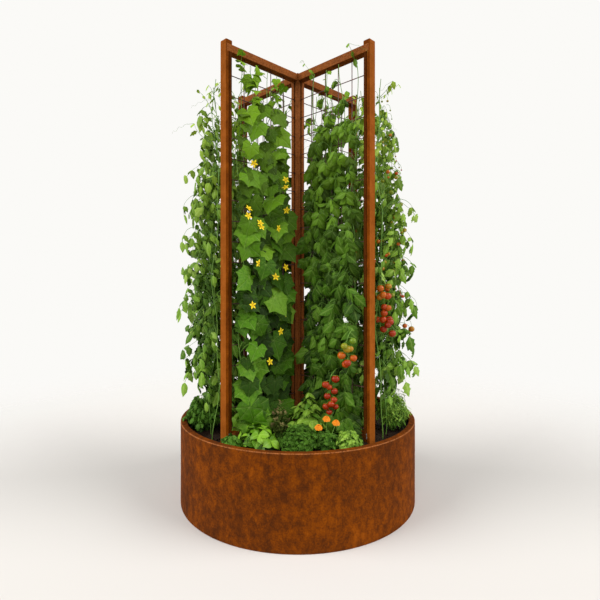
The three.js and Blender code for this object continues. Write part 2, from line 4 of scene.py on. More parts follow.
import bmesh
import bpy
import numpy as np
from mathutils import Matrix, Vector

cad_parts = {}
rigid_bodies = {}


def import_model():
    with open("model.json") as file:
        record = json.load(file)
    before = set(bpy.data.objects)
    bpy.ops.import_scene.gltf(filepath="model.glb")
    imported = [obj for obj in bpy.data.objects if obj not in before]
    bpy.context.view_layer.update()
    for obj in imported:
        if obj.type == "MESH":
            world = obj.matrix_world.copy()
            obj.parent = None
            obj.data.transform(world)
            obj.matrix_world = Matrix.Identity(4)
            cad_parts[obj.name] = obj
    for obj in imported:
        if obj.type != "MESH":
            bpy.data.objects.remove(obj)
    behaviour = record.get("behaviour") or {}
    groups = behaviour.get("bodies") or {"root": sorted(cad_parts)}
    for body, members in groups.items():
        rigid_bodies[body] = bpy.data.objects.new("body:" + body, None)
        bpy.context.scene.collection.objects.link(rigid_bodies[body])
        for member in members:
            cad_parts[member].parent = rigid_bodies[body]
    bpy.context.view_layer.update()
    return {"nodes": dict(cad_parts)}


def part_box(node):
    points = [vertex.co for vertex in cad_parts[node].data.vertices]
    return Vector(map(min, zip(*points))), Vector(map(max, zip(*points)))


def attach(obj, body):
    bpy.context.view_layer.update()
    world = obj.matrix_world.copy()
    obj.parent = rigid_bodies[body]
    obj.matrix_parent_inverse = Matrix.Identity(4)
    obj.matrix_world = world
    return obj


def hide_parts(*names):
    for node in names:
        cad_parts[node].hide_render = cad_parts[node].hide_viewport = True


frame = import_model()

nodes = frame["nodes"]
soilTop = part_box("soil")[1][2]
up = np.array([0, 0, 1.0])
print("frame loaded:", len(nodes), "nodes")


# A value in a shader tree, with operators that add the Math nodes.
class Signal:
    def __init__(self, finish, socket):
        self.finish = finish
        self.socket = socket

    def math(self, operation, *others):
        return self.finish.node("ShaderNodeMath", {"operation": operation},
                                dict(enumerate((self, *others))))

    def __add__(self, other):
        return self.math("ADD", other)

    def __sub__(self, other):
        return self.math("SUBTRACT", other)

    def __rsub__(self, other):
        return self.finish.node("ShaderNodeMath", {"operation": "SUBTRACT"}, {0: other, 1: self})

    def __mul__(self, other):
        return self.math("MULTIPLY", other)

    def __pow__(self, other):
        return self.math("POWER", other)

    __radd__, __rmul__ = __add__, __mul__

    def between(self, low, high):  # 0 under low, 1 over high, eased in between
        return self.finish.node("ShaderNodeMapRange", {"interpolation_type": "SMOOTHSTEP"},
                                {"Value": self, "From Min": low, "From Max": high})


class Finish:  # one material; fixed holds the values that are the same all over it
    def __init__(self, name, **fixed):
        self.material = bpy.data.materials.new(name)
        self.material.use_nodes = True
        self.tree = self.material.node_tree
        self.shader = self.tree.nodes["Principled BSDF"]
        for socket, value in fixed.items():
            self.shader.inputs[socket.replace("_", " ")].default_value = value

    def node(self, kind, settings=None, sockets=None, out=0):
        made = self.tree.nodes.new(kind)
        for key, value in (settings or {}).items():
            if key == "stops":
                marks = made.color_ramp.elements
                while len(marks) < len(value):
                    marks.new(0.5)
                for mark, (place, shade) in zip(marks, value):
                    mark.position, mark.color = place, shade
            else:
                setattr(made, key, value)
        for key, value in (sockets or {}).items():
            if isinstance(value, Signal):
                self.tree.links.new(value.socket, made.inputs[key])
            else:
                made.inputs[key].default_value = value
        return Signal(self, made.outputs[out])

    def place(self):
        return self.node("ShaderNodeTexCoord", out="Object")

    def held(self, name):  # a value that the mesh carries
        return self.node("ShaderNodeAttribute", {"attribute_name": name}, out="Fac")

    def leafMap(self, axis):  # axis 0 runs across the leaf, axis 1 along it
        return self.node("ShaderNodeSeparateXYZ", sockets={
            0: self.node("ShaderNodeUVMap", {"uv_map": "leafMap"})}, out=axis)

    def noise(self, where, scale, detail=4.0, rough=0.55):
        return self.node("ShaderNodeTexNoise", sockets={
            "Vector": where, "Scale": scale, "Detail": detail, "Roughness": rough})

    def stretched(self, where, scale, turn=0.0):
        return self.node("ShaderNodeMapping", sockets={
            "Vector": where, "Scale": scale, "Rotation": (0.0, 0.0, turn)})

    def ramp(self, amount, *stops):
        return self.node("ShaderNodeValToRGB", {"stops": [(at, tone(hue)) for at, hue in stops]},
                         {0: amount})

    def mixed(self, amount, first, second):
        return self.node("ShaderNodeMix", {"data_type": "RGBA"},
                         {0: amount, 6: first, 7: second}, out=2)

    def bumped(self, height, strength, distance):
        self.feed("Normal", self.node("ShaderNodeBump", sockets={
            "Height": height, "Strength": strength, "Distance": distance}))

    def feed(self, socket, signal):
        self.tree.links.new(signal.socket, self.shader.inputs[socket])


def tone(hue):  # a colour as it is seen on a screen, such as #7a3a0f, as linear light
    seen = np.array([int(hue[i:i + 2], 16) for i in (1, 3, 5)]) / 255
    return (*np.where(seen < 0.04, seen / 12.92, ((seen + 0.055) / 1.055) ** 2.4), 1.0)


# Weathered steel. grain is how fast the rust changes along the part's own X, Y and Z: a low
# figure draws it out into streaks along that axis. turn brings a slanting rail's axis onto X.
rustLook = {"drum": ("#3d1e0a", "#522708", "#653006", "#7c3c03", "#924a08"),
            "steel": ("#472004", "#602c02", "#703601", "#854204", "#9a5210"),
            "open": ("#703a0a", "#8c4a12", "#a65c1e"), "groove": "#3e1c04", "rubbed": "#aa6a3c"}


def rustFinish(name, hues, grain, contrast, turn=0.0):
    finish = Finish(name, Specular_IOR_Level=0.05)
    place = finish.stretched(finish.place(), (1, 1, 1), turn)
    cloud = finish.noise(place, 5, 3)
    blot = finish.noise(finish.stretched(place, (1, 1, 0.75)), 36, 5, 0.62)
    speck = finish.noise(place, 150, 4, 0.6)
    streak = finish.noise(finish.stretched(place, grain), 9, 5, 0.6)
    level = 0.5 + contrast * (
        (cloud - 0.5) * 0.55 + (blot - 0.5) + (streak - 0.5) * 0.45 + (speck - 0.5) * 0.6)
    shade = finish.ramp(level, *zip((0.18, 0.38, 0.52, 0.68, 0.88), hues))
    # faces that look outwards along their arm take the lighter hues
    shade = finish.mixed(finish.held("exposed").between(0.3, 0.9), shade,
                         finish.ramp(level, *zip((0.1, 0.45, 0.85), rustLook["open"])))
    # faces in recesses and slots and the drum's inner wall are painted dark: a painted shade
    shade = finish.mixed(finish.held("hollow"), shade, tone(rustLook["groove"]))
    # bends and eased edges are drawn lighter: wear and a painted highlight
    worn = finish.held("worn") * (0.35 + 0.9 * speck).between(0.55, 0.95)
    finish.feed("Base Color", finish.mixed(worn * 0.75, shade, tone(rustLook["rubbed"])))
    finish.feed("Roughness", 0.92 - 0.2 * level - 0.2 * worn)
    finish.bumped(blot * 0.5 + speck * 0.4 + streak * 0.4, 0.35, 0.0012)
    return finish.material


drumRust = rustFinish("drumRust", rustLook["drum"], (1.3, 1.3, 0.16), 0.9)
postRust = rustFinish("postRust", rustLook["steel"], (3.2, 3.2, 0.1), 0.8)
railRust = {}
for name, turn, arms in (("railRustA", -45, ("front_left", "back_right")),
                         ("railRustB", 45, ("front_right", "back_left"))):
    made = rustFinish(name, rustLook["steel"], (0.3, 3.2, 3.2), 0.8, math.radians(turn))
    railRust.update(dict.fromkeys(arms, made))


# A mottled finish: one noise gives the hue and, by swing, the roughness, and may raise the surface.
def mottledFinish(name, scale, detail, stops, rough, swing, bump=0.0, grain=(1, 1, 1), **fixed):
    finish = Finish(name, **fixed)
    mottle = finish.noise(finish.stretched(finish.place(), grain), scale, detail)
    finish.feed("Base Color", finish.ramp(mottle, *stops))
    finish.feed("Roughness", rough + swing * mottle)
    if bump:
        finish.bumped(mottle, 0.3, bump)
    return finish.material


def gravelFinish():
    finish = Finish("gravelStones", Specular_IOR_Level=0.3)
    cells = finish.node("ShaderNodeTexVoronoi", {"feature": "F1"},
                        {"Vector": finish.place(), "Scale": 60.0})
    hues = finish.noise(finish.place(), 34, 2)
    finish.feed("Base Color", finish.mixed(
        cells.between(0.5, 0.8), finish.ramp(hues, (0.35, "#8a8277"), (0.65, "#b3a995")),
        tone("#3b352d")))
    finish.feed("Roughness", 0.8 + 0.1 * hues)
    finish.bumped(1 - cells, 0.9, 0.006)
    return finish.material


def soilFinish():
    finish = Finish("darkSoil", Specular_IOR_Level=0.2)
    crumb = finish.noise(finish.place(), 130, 6, 0.7)
    lump = finish.noise(finish.place(), 24, 4)
    finish.feed("Base Color", finish.ramp(
        crumb * 0.7 + lump * 0.3, (0.3, "#120a05"), (0.5, "#24170d"), (0.66, "#3c2818"),
        (0.8, "#6b4d33")))
    finish.feed("Roughness", 0.85 + 0.12 * lump)
    finish.bumped(crumb * 0.6 + lump, 0.8, 0.006)
    return finish.material


# Leaves. The mesh carries tint, one value a leaf, young, which rises with the height, and a
# map: across is 0 on the middle rib and 1 at the edge, along is 0 at the stalk and 1 at the tip.
# hues run from deep to bright, veins sets the side ribs apart and fine is how far they show.
def leafFinish(name, hues, young, rib, gloss=0.42, veins=6.0, coat=0.0, fine=0.45):
    finish = Finish(name, Specular_IOR_Level=0.11, Coat_Weight=coat, Coat_Roughness=0.3)
    across, along = finish.leafMap(0), finish.leafMap(1)
    tint = finish.held("tint")
    grain = finish.noise(finish.place(), 90, 3)
    shade = finish.ramp(tint * 0.8 + grain * 0.4 - 0.1, *zip((0.08, 0.4, 0.68, 0.95), hues))
    shade = finish.mixed(finish.held("young") * (0.4 + 0.6 * tint), shade, tone(young))
    wave = (along * veins - across * 1.6).math("FRACT")
    sideRib = (1 - (wave - 0.5).math("ABSOLUTE") * 2).between(0.72, 1.0)
    ribs = ((1 - across) ** 7 * 0.9).math("MAXIMUM", sideRib * fine)
    finish.feed("Base Color", finish.mixed(ribs * (0.15 + 0.65 * tint), shade, tone(rib)))
    finish.feed("Roughness", gloss + 0.2 * grain - 0.06 * ribs)
    finish.bumped(grain * 0.3 - ribs, 0.55, 0.0015)
    return finish.material


def fruitFinish():
    finish = Finish("tomatoSkin", Specular_IOR_Level=0.18, Coat_Weight=0.1, Coat_Roughness=0.15)
    blush = finish.noise(finish.place(), 30, 2)
    ripe = finish.held("tint") + (blush - 0.5) * 0.35
    finish.feed("Base Color", finish.ramp(
        ripe, (0.05, "#668216"), (0.3, "#948618"), (0.5, "#b8600c"), (0.7, "#aa3a08"),
        (0.95, "#8e2404")))
    finish.feed("Roughness", 0.22 + 0.12 * blush)
    return finish.material


def petalFinish(name, inner, outer):
    finish = Finish(name, Specular_IOR_Level=0.25)
    tint = finish.held("tint")
    finish.feed("Base Color", finish.ramp(finish.leafMap(1) * 0.7 + tint * 0.3,
                                          (0.1, inner), (0.8, outer)))
    finish.feed("Roughness", 0.6 + 0.15 * tint)
    return finish.material


wireBrown = mottledFinish("wireBrown", 60, 4, ((0.3, "#3c2624"), (0.5, "#583a37"),
                                               (0.72, "#7d5046")), 0.75, -0.3, 0.0005,
                          Metallic=0.35, Specular_IOR_Level=0.5)
zincPlate = mottledFinish("zincPlate", 220, 3, ((0.3, "#8f8f8c"), (0.7, "#c2c1bb")), 0.3, 0.25,
                          Metallic=0.85)
greenStem = mottledFinish("greenStem", 120, 3, ((0.3, "#46741f"), (0.7, "#7ea644")), 0.5, 0.2,
                          grain=(1, 1, 0.2), Specular_IOR_Level=0.35)
gravelStones = gravelFinish()
darkSoil = soilFinish()
vineLeaf = leafFinish("vineLeaf", ("#132802", "#284a04", "#46740e", "#76a02e"), "#82aa1a",
                      "#a2bc62", veins=3.0, fine=0.12)
tomatoLeaf = leafFinish("tomatoLeaf", ("#102302", "#213f04", "#3e660d", "#68922a"), "#7aa21a",
                        "#86a44c")
sideLeaf = leafFinish("sideLeaf", ("#1e3c04", "#40690c", "#6f9828", "#a2bf5c"), "#a8c43c",
                      "#aac468", 0.4)
basilLeaf = leafFinish("basilLeaf", ("#1f4202", "#376004", "#598a10", "#83ae2c"), "#7fac2c",
                       "#9cc04c", 0.34, 5.0, 0.15)
brightLeaf = leafFinish("brightLeaf", ("#234704", "#40700c", "#6a9626", "#96bb4c"), "#9cbc40",
                        "#a9c46c", 0.4)
herbLeaf = leafFinish("herbLeaf", ("#0e2302", "#1b3c03", "#2f5b0a", "#527c1e"), "#5c8626",
                      "#6c903a", 0.5)
purpleLeaf = leafFinish("purpleLeaf", ("#26320a", "#4a6618", "#72883a", "#8f7a52"), "#96545a",
                        "#a8a062", 0.5)
tomatoSkin = fruitFinish()
cucumberPetal = petalFinish("cucumberPetal", "#f4c810", "#ffe52c")
marigoldPetal = petalFinish("marigoldPetal", "#b84404", "#f2941a")
print("finishes made:", len(bpy.data.materials))


# Mesh helpers. A part is a dictionary: points (n, 3), faces (a list of index arrays), map (n, 2),
# tint and young (n,) and paint, the number of its material in the piece.
def unit(rows):
    return rows / np.maximum(np.linalg.norm(rows, axis=-1, keepdims=True), 1e-9)


def turnedOut(points, faces):  # six times the enclosed volume tells if the faces point inwards
    volume = 0.0
    for face in faces:
        for k in range(1, face.shape[1] - 1):
            a, b, c = points[face[:, 0]], points[face[:, k]], points[face[:, k + 1]]
            volume += np.einsum("ij,ij->", a, np.cross(b, c))
    return faces if volume > 0 else [face[:, ::-1] for face in faces]


def part(points, faces, across=None, tint=0.5, young=0.0, paint=0):
    count = len(points)
    return {"points": points, "faces": faces, "paint": paint,
            "map": np.zeros((count, 2)) if across is None else across,
            "tint": np.broadcast_to(tint, count), "young": np.broadcast_to(young, count)}


def carry(mesh, domain, facts):
    for key, values in facts.items():
        mesh.attributes.new(key, "FLOAT", domain).data.foreach_set(
            "value", values.astype(np.float32))


def shown(name, data):
    made = bpy.data.objects.new(name, data)
    bpy.context.scene.collection.objects.link(made)
    return made


def piece(name, parts, materials, sharpOver=None, **carried):
    starts = np.cumsum([0] + [len(each["points"]) for each in parts])
    corners, sizes, paints = [], [], []
    for start, each in zip(starts, parts):
        for face in each["faces"]:
            corners.append((face + start).ravel())
            sizes.append(np.full(len(face), face.shape[1]))
            paints.append(np.full(len(face), each["paint"]))
    corners, sizes, paints = (np.concatenate(each) for each in (corners, sizes, paints))
    together = {key: np.concatenate([each[key] for each in parts])
                for key in ("points", "map", "tint", "young")}
    mesh = bpy.data.meshes.new(name)
    mesh.vertices.add(len(together["points"]))
    mesh.vertices.foreach_set("co", together.pop("points").astype(np.float32).ravel())
    mesh.loops.add(len(corners))
    mesh.loops.foreach_set("vertex_index", corners.astype(np.int32))
    mesh.polygons.add(len(sizes))
    mesh.polygons.foreach_set("loop_start", (np.cumsum(sizes) - sizes).astype(np.int32))
    for material in materials:
        mesh.materials.append(material)
    mesh.polygons.foreach_set("material_index", paints.astype(np.int32))
    mesh.polygons.foreach_set("use_smooth", np.ones(len(sizes), bool))
    flat = together.pop("map")[corners]
    carry(mesh, "POINT", {**together, **carried})
    mesh.uv_layers.new(name="leafMap").data.foreach_set("uv", flat.astype(np.float32).ravel())
    mesh.update(calc_edges=True)
    if sharpOver:
        mesh.set_sharp_from_angle(angle=math.radians(sharpOver))
    return shown(name, mesh)


def dressed(made, slotName, *replaced):
    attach(made, "root")
    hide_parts(*replaced)


def gridFaces(rows, columns, closeRows=False):  # quads of a grid whose rows close into rings
    row = np.arange(rows if closeRows else rows - 1)[:, None]
    column = np.arange(columns)[None, :]
    below, beside = (row + 1) % rows, (column + 1) % columns
    corners = (row * columns + column, row * columns + beside,
               below * columns + beside, below * columns + column)
    return np.stack([np.broadcast_to(c, (len(row), columns)) for c in corners], -1).reshape(-1, 4)


def closedFaces(rows, columns):  # the same, each end drawn to a point that follows the grid's own
    ring = np.arange(columns)
    beside = (ring + 1) % columns
    first, last = rows * columns, (rows - 1) * columns
    return [gridFaces(rows, columns), np.concatenate([
        np.stack([np.full(columns, first), beside, ring], -1),
        np.stack([np.full(columns, first + 1), last + ring, last + beside], -1)])]


def copied(faces, count, size):  # the faces of count equal shapes of size points each
    shift = (np.arange(count) * size)[:, None, None]
    return [(each[None] + shift).reshape(-1, each.shape[1]) for each in faces]


def turnSteps(sides):
    return np.linspace(0, 2 * np.pi, sides, endpoint=False)


# Tubes: each path is a row of points; a ring of sides points stands square to it at each point,
# radius away, and each end closes in a point of its own.
def tubes(paths, radii, sides=5, **facts):
    paths = np.asarray(paths, float)
    count, steps, _ = paths.shape
    radii = np.broadcast_to(np.asarray(radii, float), (count, steps))
    ahead = unit(np.gradient(paths, axis=1))
    chord = unit(paths[:, -1] - paths[:, 0])
    steady = np.where(np.abs(chord[:, 2:]) > 0.7, [[1.0, 0.2, 0.0]], [[0.0, 0.0, 1.0]])
    aside = unit(np.cross(ahead, steady[:, None, :]))
    over = np.cross(ahead, aside)
    turn = turnSteps(sides)[:, None]
    rings = (paths[:, :, None, :] + radii[:, :, None, None] * (
        np.cos(turn) * aside[:, :, None, :] + np.sin(turn) * over[:, :, None, :]))
    points = np.concatenate(
        [rings.reshape(count, -1, 3), paths[:, :1], paths[:, -1:]], axis=1).reshape(-1, 3)
    faces = copied(closedFaces(steps, sides), count, steps * sides + 2)
    return part(points, turnedOut(points, faces), **facts)


def bezier(start, middle, end, share):  # start, middle, end (n, 3), share (n or 1, k)
    share = np.asarray(share)[..., None]
    start, middle, end = (each[:, None, :] for each in (start, middle, end))
    return (1 - share) ** 2 * start + 2 * share * (1 - share) * middle + share ** 2 * end


def stalks(start, middle, end, steps, sides, thick, thin=None, paint=1):  # tubes on such curves
    path = bezier(start, middle, end, np.linspace(0, 1, steps)[None])
    return tubes(path, np.linspace(thick, thin or thick, steps), sides, paint=paint)


# A shape turned round the Z axis: outline is a closed row of (radius, height).
def turnedRing(outline, sides, ripple):
    turn = turnSteps(sides)[:, None]
    radius = outline[None, :, 0] + ripple(turn, outline[None, :, 1])
    points = np.stack([radius * np.cos(turn), radius * np.sin(turn),
                       np.broadcast_to(outline[None, :, 1], radius.shape)], -1).reshape(-1, 3)
    return points, turnedOut(points, [gridFaces(sides, len(outline), closeRows=True)])


def arc(centre, radius, fromDegrees, toDegrees, steps=6):
    turn = np.radians(np.linspace(fromDegrees, toDegrees, steps))
    return np.stack([centre[0] + radius * np.cos(turn), centre[1] + radius * np.sin(turn)], -1)


# The drum: one sheet rolled round, folded inwards at the top and at the foot. The wall strays
# from the true round by a few tenths of a millimetre, as rolled plate does.
drumLook = {"wall": 0.003, "lip": 0.030, "bend": 0.004, "sides": 288, "stray": 0.0005,
            "rows": 12, "margin": 0.02}


def rolledDrum():
    radius, _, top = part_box("drum_shell")[1]
    wall, lip, bend, rows = (drumLook[key] for key in ("wall", "lip", "bend", "rows"))
    inner, edge = radius - wall, wall / 2
    heights = np.linspace(drumLook["margin"], top - drumLook["margin"], rows)
    outline = np.concatenate([
        arc((radius - lip + edge, edge), edge, 90, 270, 5),
        [(radius - 2 * bend, 0.0)],
        arc((radius - bend, bend), bend, -90, 0),
        [(radius, bend + wall)],
        np.stack([np.full(rows, radius), heights], -1),
        [(radius, top - bend - wall)],
        arc((radius - bend, top - bend), bend, 0, 90),
        [(radius - 2 * bend, top)],
        arc((radius - lip + edge, top - edge), edge, 90, 270, 5),
        [(inner - wall, top - wall), (inner, top - 2 * wall)],
        np.stack([np.full(rows, inner), heights[::-1]], -1),
        [(inner, 2 * wall), (inner - wall, wall)],
    ])

    def ripple(turn, height):
        rise = np.sin(np.pi * np.clip(height / top, 0, 1))
        return drumLook["stray"] * rise * (
            np.sin(3 * turn + 4 * height) + 0.6 * np.sin(7 * turn - 9 * height + 1))

    points, faces = turnedRing(outline, drumLook["sides"], ripple)
    reach, height = np.hypot(points[:, 0], points[:, 1]), points[:, 2]
    atBend = reach > radius - 0.8 * bend
    lipEdge = (reach < radius - lip + 0.5 * edge) & (height > 0.5 * top)
    upper, lower = atBend & (height > top - 0.8 * bend), atBend & (height < 0.5 * bend)
    # the bends at the top and foot and the lip's inner edge are drawn lighter: wear and a painted
    # highlight
    worn = np.select([upper, lower, lipEdge], [1.0, 0.4, 0.7])
    # the inner wall is painted darker: a painted shade inside the drum
    inside = (reach < inner + 0.0001) & (height < top - 0.001)
    made = piece("rolledDrum", [part(points, faces)], [drumRust], 50, worn=worn,
                 exposed=np.zeros(len(points)), hollow=np.where(inside, 0.35, 0.0))
    dressed(made, "drum_rust", "drum_shell")


rolledDrum()
print("drum rolled")

# The trellis steel: each bar keeps its solid's form, with its edges eased. A face that looks
# outwards along its arm is drawn lighter; a face sunk in a recess is painted dark: painted shade.
armTurns = {name: math.radians(turn) for name, turn in
            {"front_left": 225, "front_right": 315, "back_right": 45, "back_left": 135}.items()}
steelLook = {"ease": 0.0011, "easeBolt": 0.0005, "segments": 2, "sharp": 24, "half": 0.021,
             "flush": 0.0014, "core": 0.0225}


def armAxes(arm):  # outwards along the arm, and across it
    turn = armTurns[arm]
    return (np.array([math.cos(turn), math.sin(turn), 0]),
            np.array([-math.sin(turn), math.cos(turn), 0]))


def faceValues(mesh, name, width=1):
    values = np.zeros(width * len(mesh.polygons))
    mesh.polygons.foreach_get(name, values)
    return values.reshape(-1, width)


def easedBar(node, material, slotName, arm=None, ease=steelLook["ease"]):
    work = bmesh.new()
    work.from_mesh(nodes[node].data)
    bmesh.ops.remove_doubles(work, verts=work.verts, dist=1e-6)
    bmesh.ops.dissolve_limit(work, angle_limit=math.radians(0.5), verts=work.verts,
                             edges=work.edges)
    sharp = math.radians(steelLook["sharp"])
    rims = [edge for edge in work.edges if edge.is_manifold and edge.calc_face_angle() > sharp]
    bmesh.ops.bevel(work, geom=rims, offset=ease, offset_type="OFFSET", profile=0.5,
                    segments=steelLook["segments"], affect="EDGES", clamp_overlap=True)
    mesh = bpy.data.meshes.new(node + "Eased")
    work.to_mesh(mesh)
    work.free()
    normal, middle = faceValues(mesh, "normal", 3), faceValues(mesh, "center", 3)
    exposed, hollow, worn = np.zeros((3, len(normal)))
    if arm:
        out, across = armAxes(arm)
        off = np.abs(middle @ across)
        # faces that look outwards along the arm are drawn lighter
        exposed = np.clip(normal @ out, 0, 1) * (off < steelLook["half"] - 0.0005)
        # side faces sunk in the post's recess are painted dark: a painted shade
        sunk = off < steelLook["half"] - steelLook["flush"]
        hollow = np.where((np.abs(normal @ across) > 0.7) & sunk, 0.8, 0.0)
    else:
        # the eased edges are drawn lighter: wear and a painted highlight
        worn = np.where(np.abs(normal).max(axis=1) < 0.97, 0.6, 0.0)
    # the faces in the centre post's slots are painted dark: a painted shade
    if node == "centre_post":
        outs = np.array([armAxes(each)[0] for each in armTurns])
        sunk = (middle @ outs.T).max(axis=1) < steelLook["core"]
        hollow = np.where(sunk & (np.abs(normal[:, 2]) < 0.5), 0.9, 0.0)
    carry(mesh, "FACE", {"exposed": exposed, "hollow": hollow, "worn": worn})
    mesh.materials.append(material)
    dressed(shown(node + "Eased", mesh), slotName, node)


for arm in armTurns:
    easedBar(f"post_{arm}", postRust, "post_rust", arm)
    easedBar(f"post_cap_{arm}", postRust, "post_rust", arm)
    easedBar(f"top_rail_{arm}", railRust[arm], "post_rust")
    easedBar(f"bottom_rail_{arm}", railRust[arm], "post_rust")
    easedBar(f"fixing_bolts_{arm}", zincPlate, "zinc", ease=steelLook["easeBolt"])
easedBar("centre_post", postRust, "post_rust")
easedBar("centre_cap", postRust, "post_rust")
print("trellis steel eased")

# Wire panels: round wires, the level ones lapped behind the upright ones, each a little off
# straight. from and to are how far out the openings begin and end.
wireLook = {"thick": 0.0045, "pitch": 0.096, "columns": 4, "from": 0.024, "to": 0.4455,
            "slot": 0.0065, "lap": 0.002, "bow": 0.0012, "sides": 8}


def wirePanel(arm, seed):
    random = np.random.default_rng(seed)
    out, across = armAxes(arm)
    low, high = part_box(f"mesh_panel_{arm}")
    inner, outer = wireLook["from"], wireLook["to"]
    half, lap = wireLook["thick"] / 2, wireLook["lap"] * across
    uprights, levels = [], []
    share = np.linspace(0, 1, 24)
    height = np.outer(low[2] + share * (high[2] - low[2]), up)
    for column in np.linspace(inner, outer, wireLook["columns"] + 2)[1:-1]:
        bow = wireLook["bow"] * np.sin(np.pi * share) * np.sin(9 * share + random.uniform(0, 6))
        uprights.append(out * (column + bow[:, None]) + lap + height)
    inner -= wireLook["slot"]
    share = np.linspace(0, 1, 12)
    for level in np.arange(high[2] - wireLook["pitch"], low[2] + half, -wireLook["pitch"]):
        sag = wireLook["bow"] * np.sin(np.pi * share) * random.uniform(-1, 1)
        levels.append(out * (inner + share * (outer - inner))[:, None] - lap
                      + np.outer(level + sag, up))
    made = piece(f"wirePanel_{arm}", [tubes(uprights, half, wireLook["sides"]),
                                      tubes(levels, half, wireLook["sides"])], [wireBrown])
    dressed(made, "wire", f"mesh_panel_{arm}")


for number, arm in enumerate(armTurns):
    wirePanel(arm, 40 + number)
carriedOver = {node: drumRust for node in nodes if node == "base_plate" or "spigot" in node}
carriedOver["drainage_gravel"] = gravelStones
for node, material in carriedOver.items():
    nodes[node].data.materials.clear()
    nodes[node].data.materials.append(material)
print("wire panels made")

# The soil: a disc whose top rises and falls by a sum of waves, with crumbs lying on it.
soilLook = {"rise": 0.006, "rings": 60, "sides": 160, "crumbs": 900, "crumb": (0.003, 0.009),
            "seed": 5}


def soilHeight(x, y):
    return soilLook["rise"] * (
        np.sin(23 * x + 3 * np.sin(11 * y)) * np.sin(19 * y + 2) + 0.6 * np.sin(57 * x + 31 * y)
        + 0.4 * np.sin(83 * y - 47 * x + 1))


def crumbTemplate():  # twelve corners on three crossed golden rectangles, and the hull round them
    wide = (1 + 5 ** 0.5) / 2
    signs = [(s, t) for s in (-1, 1) for t in (-1, 1)]
    corners = unit(np.array([(s, t * wide, 0) for s, t in signs]
                            + [(0, s, t * wide) for s, t in signs]
                            + [(s * wide, 0, t) for s, t in signs], float))
    hull = bmesh.new()
    for corner in corners:
        hull.verts.new(corner)
    bmesh.ops.convex_hull(hull, input=hull.verts)
    faces = np.array([[vert.index for vert in face.verts] for face in hull.faces])
    hull.free()
    return corners, faces


def soilBed():
    random = np.random.default_rng(soilLook["seed"])
    low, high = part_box("soil")
    radius, rings, sides, count = high[0], soilLook["rings"], soilLook["sides"], soilLook["crumbs"]
    share, turn = np.linspace(0.004, 1, rings)[:, None], turnSteps(sides)[None, :]
    x, y = radius * share * np.cos(turn), radius * share * np.sin(turn)
    upper = np.stack([x, y, high[2] + soilHeight(x, y) * np.clip((1 - share) * 12, 0, 1)], -1)
    lower = upper[-1:].copy()
    lower[..., 2] = low[2]
    points = np.concatenate([upper.reshape(-1, 3), lower.reshape(-1, 3),
                             [[0, 0, high[2]], [0, 0, low[2]]]])
    faces = turnedOut(points, closedFaces(rings + 1, sides))
    reach = radius * np.sqrt(random.uniform(0, 0.97, count))
    turn = random.uniform(0, 2 * np.pi, count)
    x, y = reach * np.cos(turn), reach * np.sin(turn)
    size = random.uniform(*soilLook["crumb"], count) * random.uniform(0.4, 1, count)
    corners, crumbFaces = crumbTemplate()
    rough = corners[None] * random.uniform(0.7, 1.25, (count, len(corners), 1))
    centre = np.stack([x, y, high[2] + soilHeight(x, y) + 0.3 * size], -1)
    crumbs = (centre[:, None] + rough * size[:, None, None]).reshape(-1, 3)
    spread = turnedOut(crumbs, copied([crumbFaces], count, len(corners)))
    dressed(piece("soilBed", [part(points, faces), part(crumbs, spread)], [darkSoil]),
            "soil", "soil")


soilBed()
print("soil laid")


# Leaves. A template is a closed blade of length 1 along Y with its face up Z: points, faces and
# map. Two ribs, upper and under, run between the two edges; widths gives half widths on the way.
def bladeTemplate(widths, fold=0.25, thick=0.012, ruffle=0.0):
    widths = np.array(widths, float)
    rows = len(widths)
    along = (np.arange(rows) + 1) / (rows + 1)
    wave = ruffle * np.where(np.arange(rows) % 2, 1, -1) * widths
    drop = -fold * widths
    none = np.zeros(rows)
    sections = np.stack([
        np.stack([-widths, along, drop + wave], -1), np.stack([none, along, none + thick], -1),
        np.stack([widths, along, drop - wave], -1), np.stack([none, along, none - thick], -1)], 1)
    points = np.concatenate([sections.reshape(-1, 3), [[0, 0, 0], [0, 1, 0]]])
    across = np.append(np.tile([1.0, 0.0, 1.0, 0.0], rows), [0.0, 0.0])
    return points, turnedOut(points, closedFaces(rows, 4)), np.stack([across, points[:, 1]], -1)


# A lobed leaf round the end of its stalk: reach gives the outline's distance for each angle from
# the tip. The upper side is quilted between its ribs, the under side is one shallow cone.
palmLook = {"quilt": 0.035, "thick": 0.01, "droop": 0.08, "inner": 0.52}


def palmTemplate(angles, reaches, ribAngles):
    angles = np.concatenate([-np.array(angles)[:0:-1], angles, [180]])
    reaches = np.concatenate([np.array(reaches)[:0:-1], reaches, [0.1]])
    ribs = np.isin(np.abs(angles), ribAngles).astype(float)
    turn = np.radians(angles)
    droop, share = palmLook["droop"], palmLook["inner"]
    x, y = reaches * np.sin(turn), reaches * np.cos(turn)
    quilted = palmLook["quilt"] * (1 - ribs) - 0.25 * droop * reaches
    inner = np.stack([share * x, share * y, quilted], -1)
    edge = np.stack([x, y, -droop * reaches ** 2 - 0.04 * ribs], -1)
    points = np.concatenate([inner, edge, [[0, 0, 0.0], [0, 0.02, -2 * palmLook["thick"]]]])
    across = np.concatenate([1 - ribs, 1 - ribs, [0.0, 0.5]])
    length = np.concatenate([share * reaches, reaches, [0.0, 0.5]])
    faces = turnedOut(points, closedFaces(2, len(angles)))
    return points, faces, np.stack([across, length], -1)


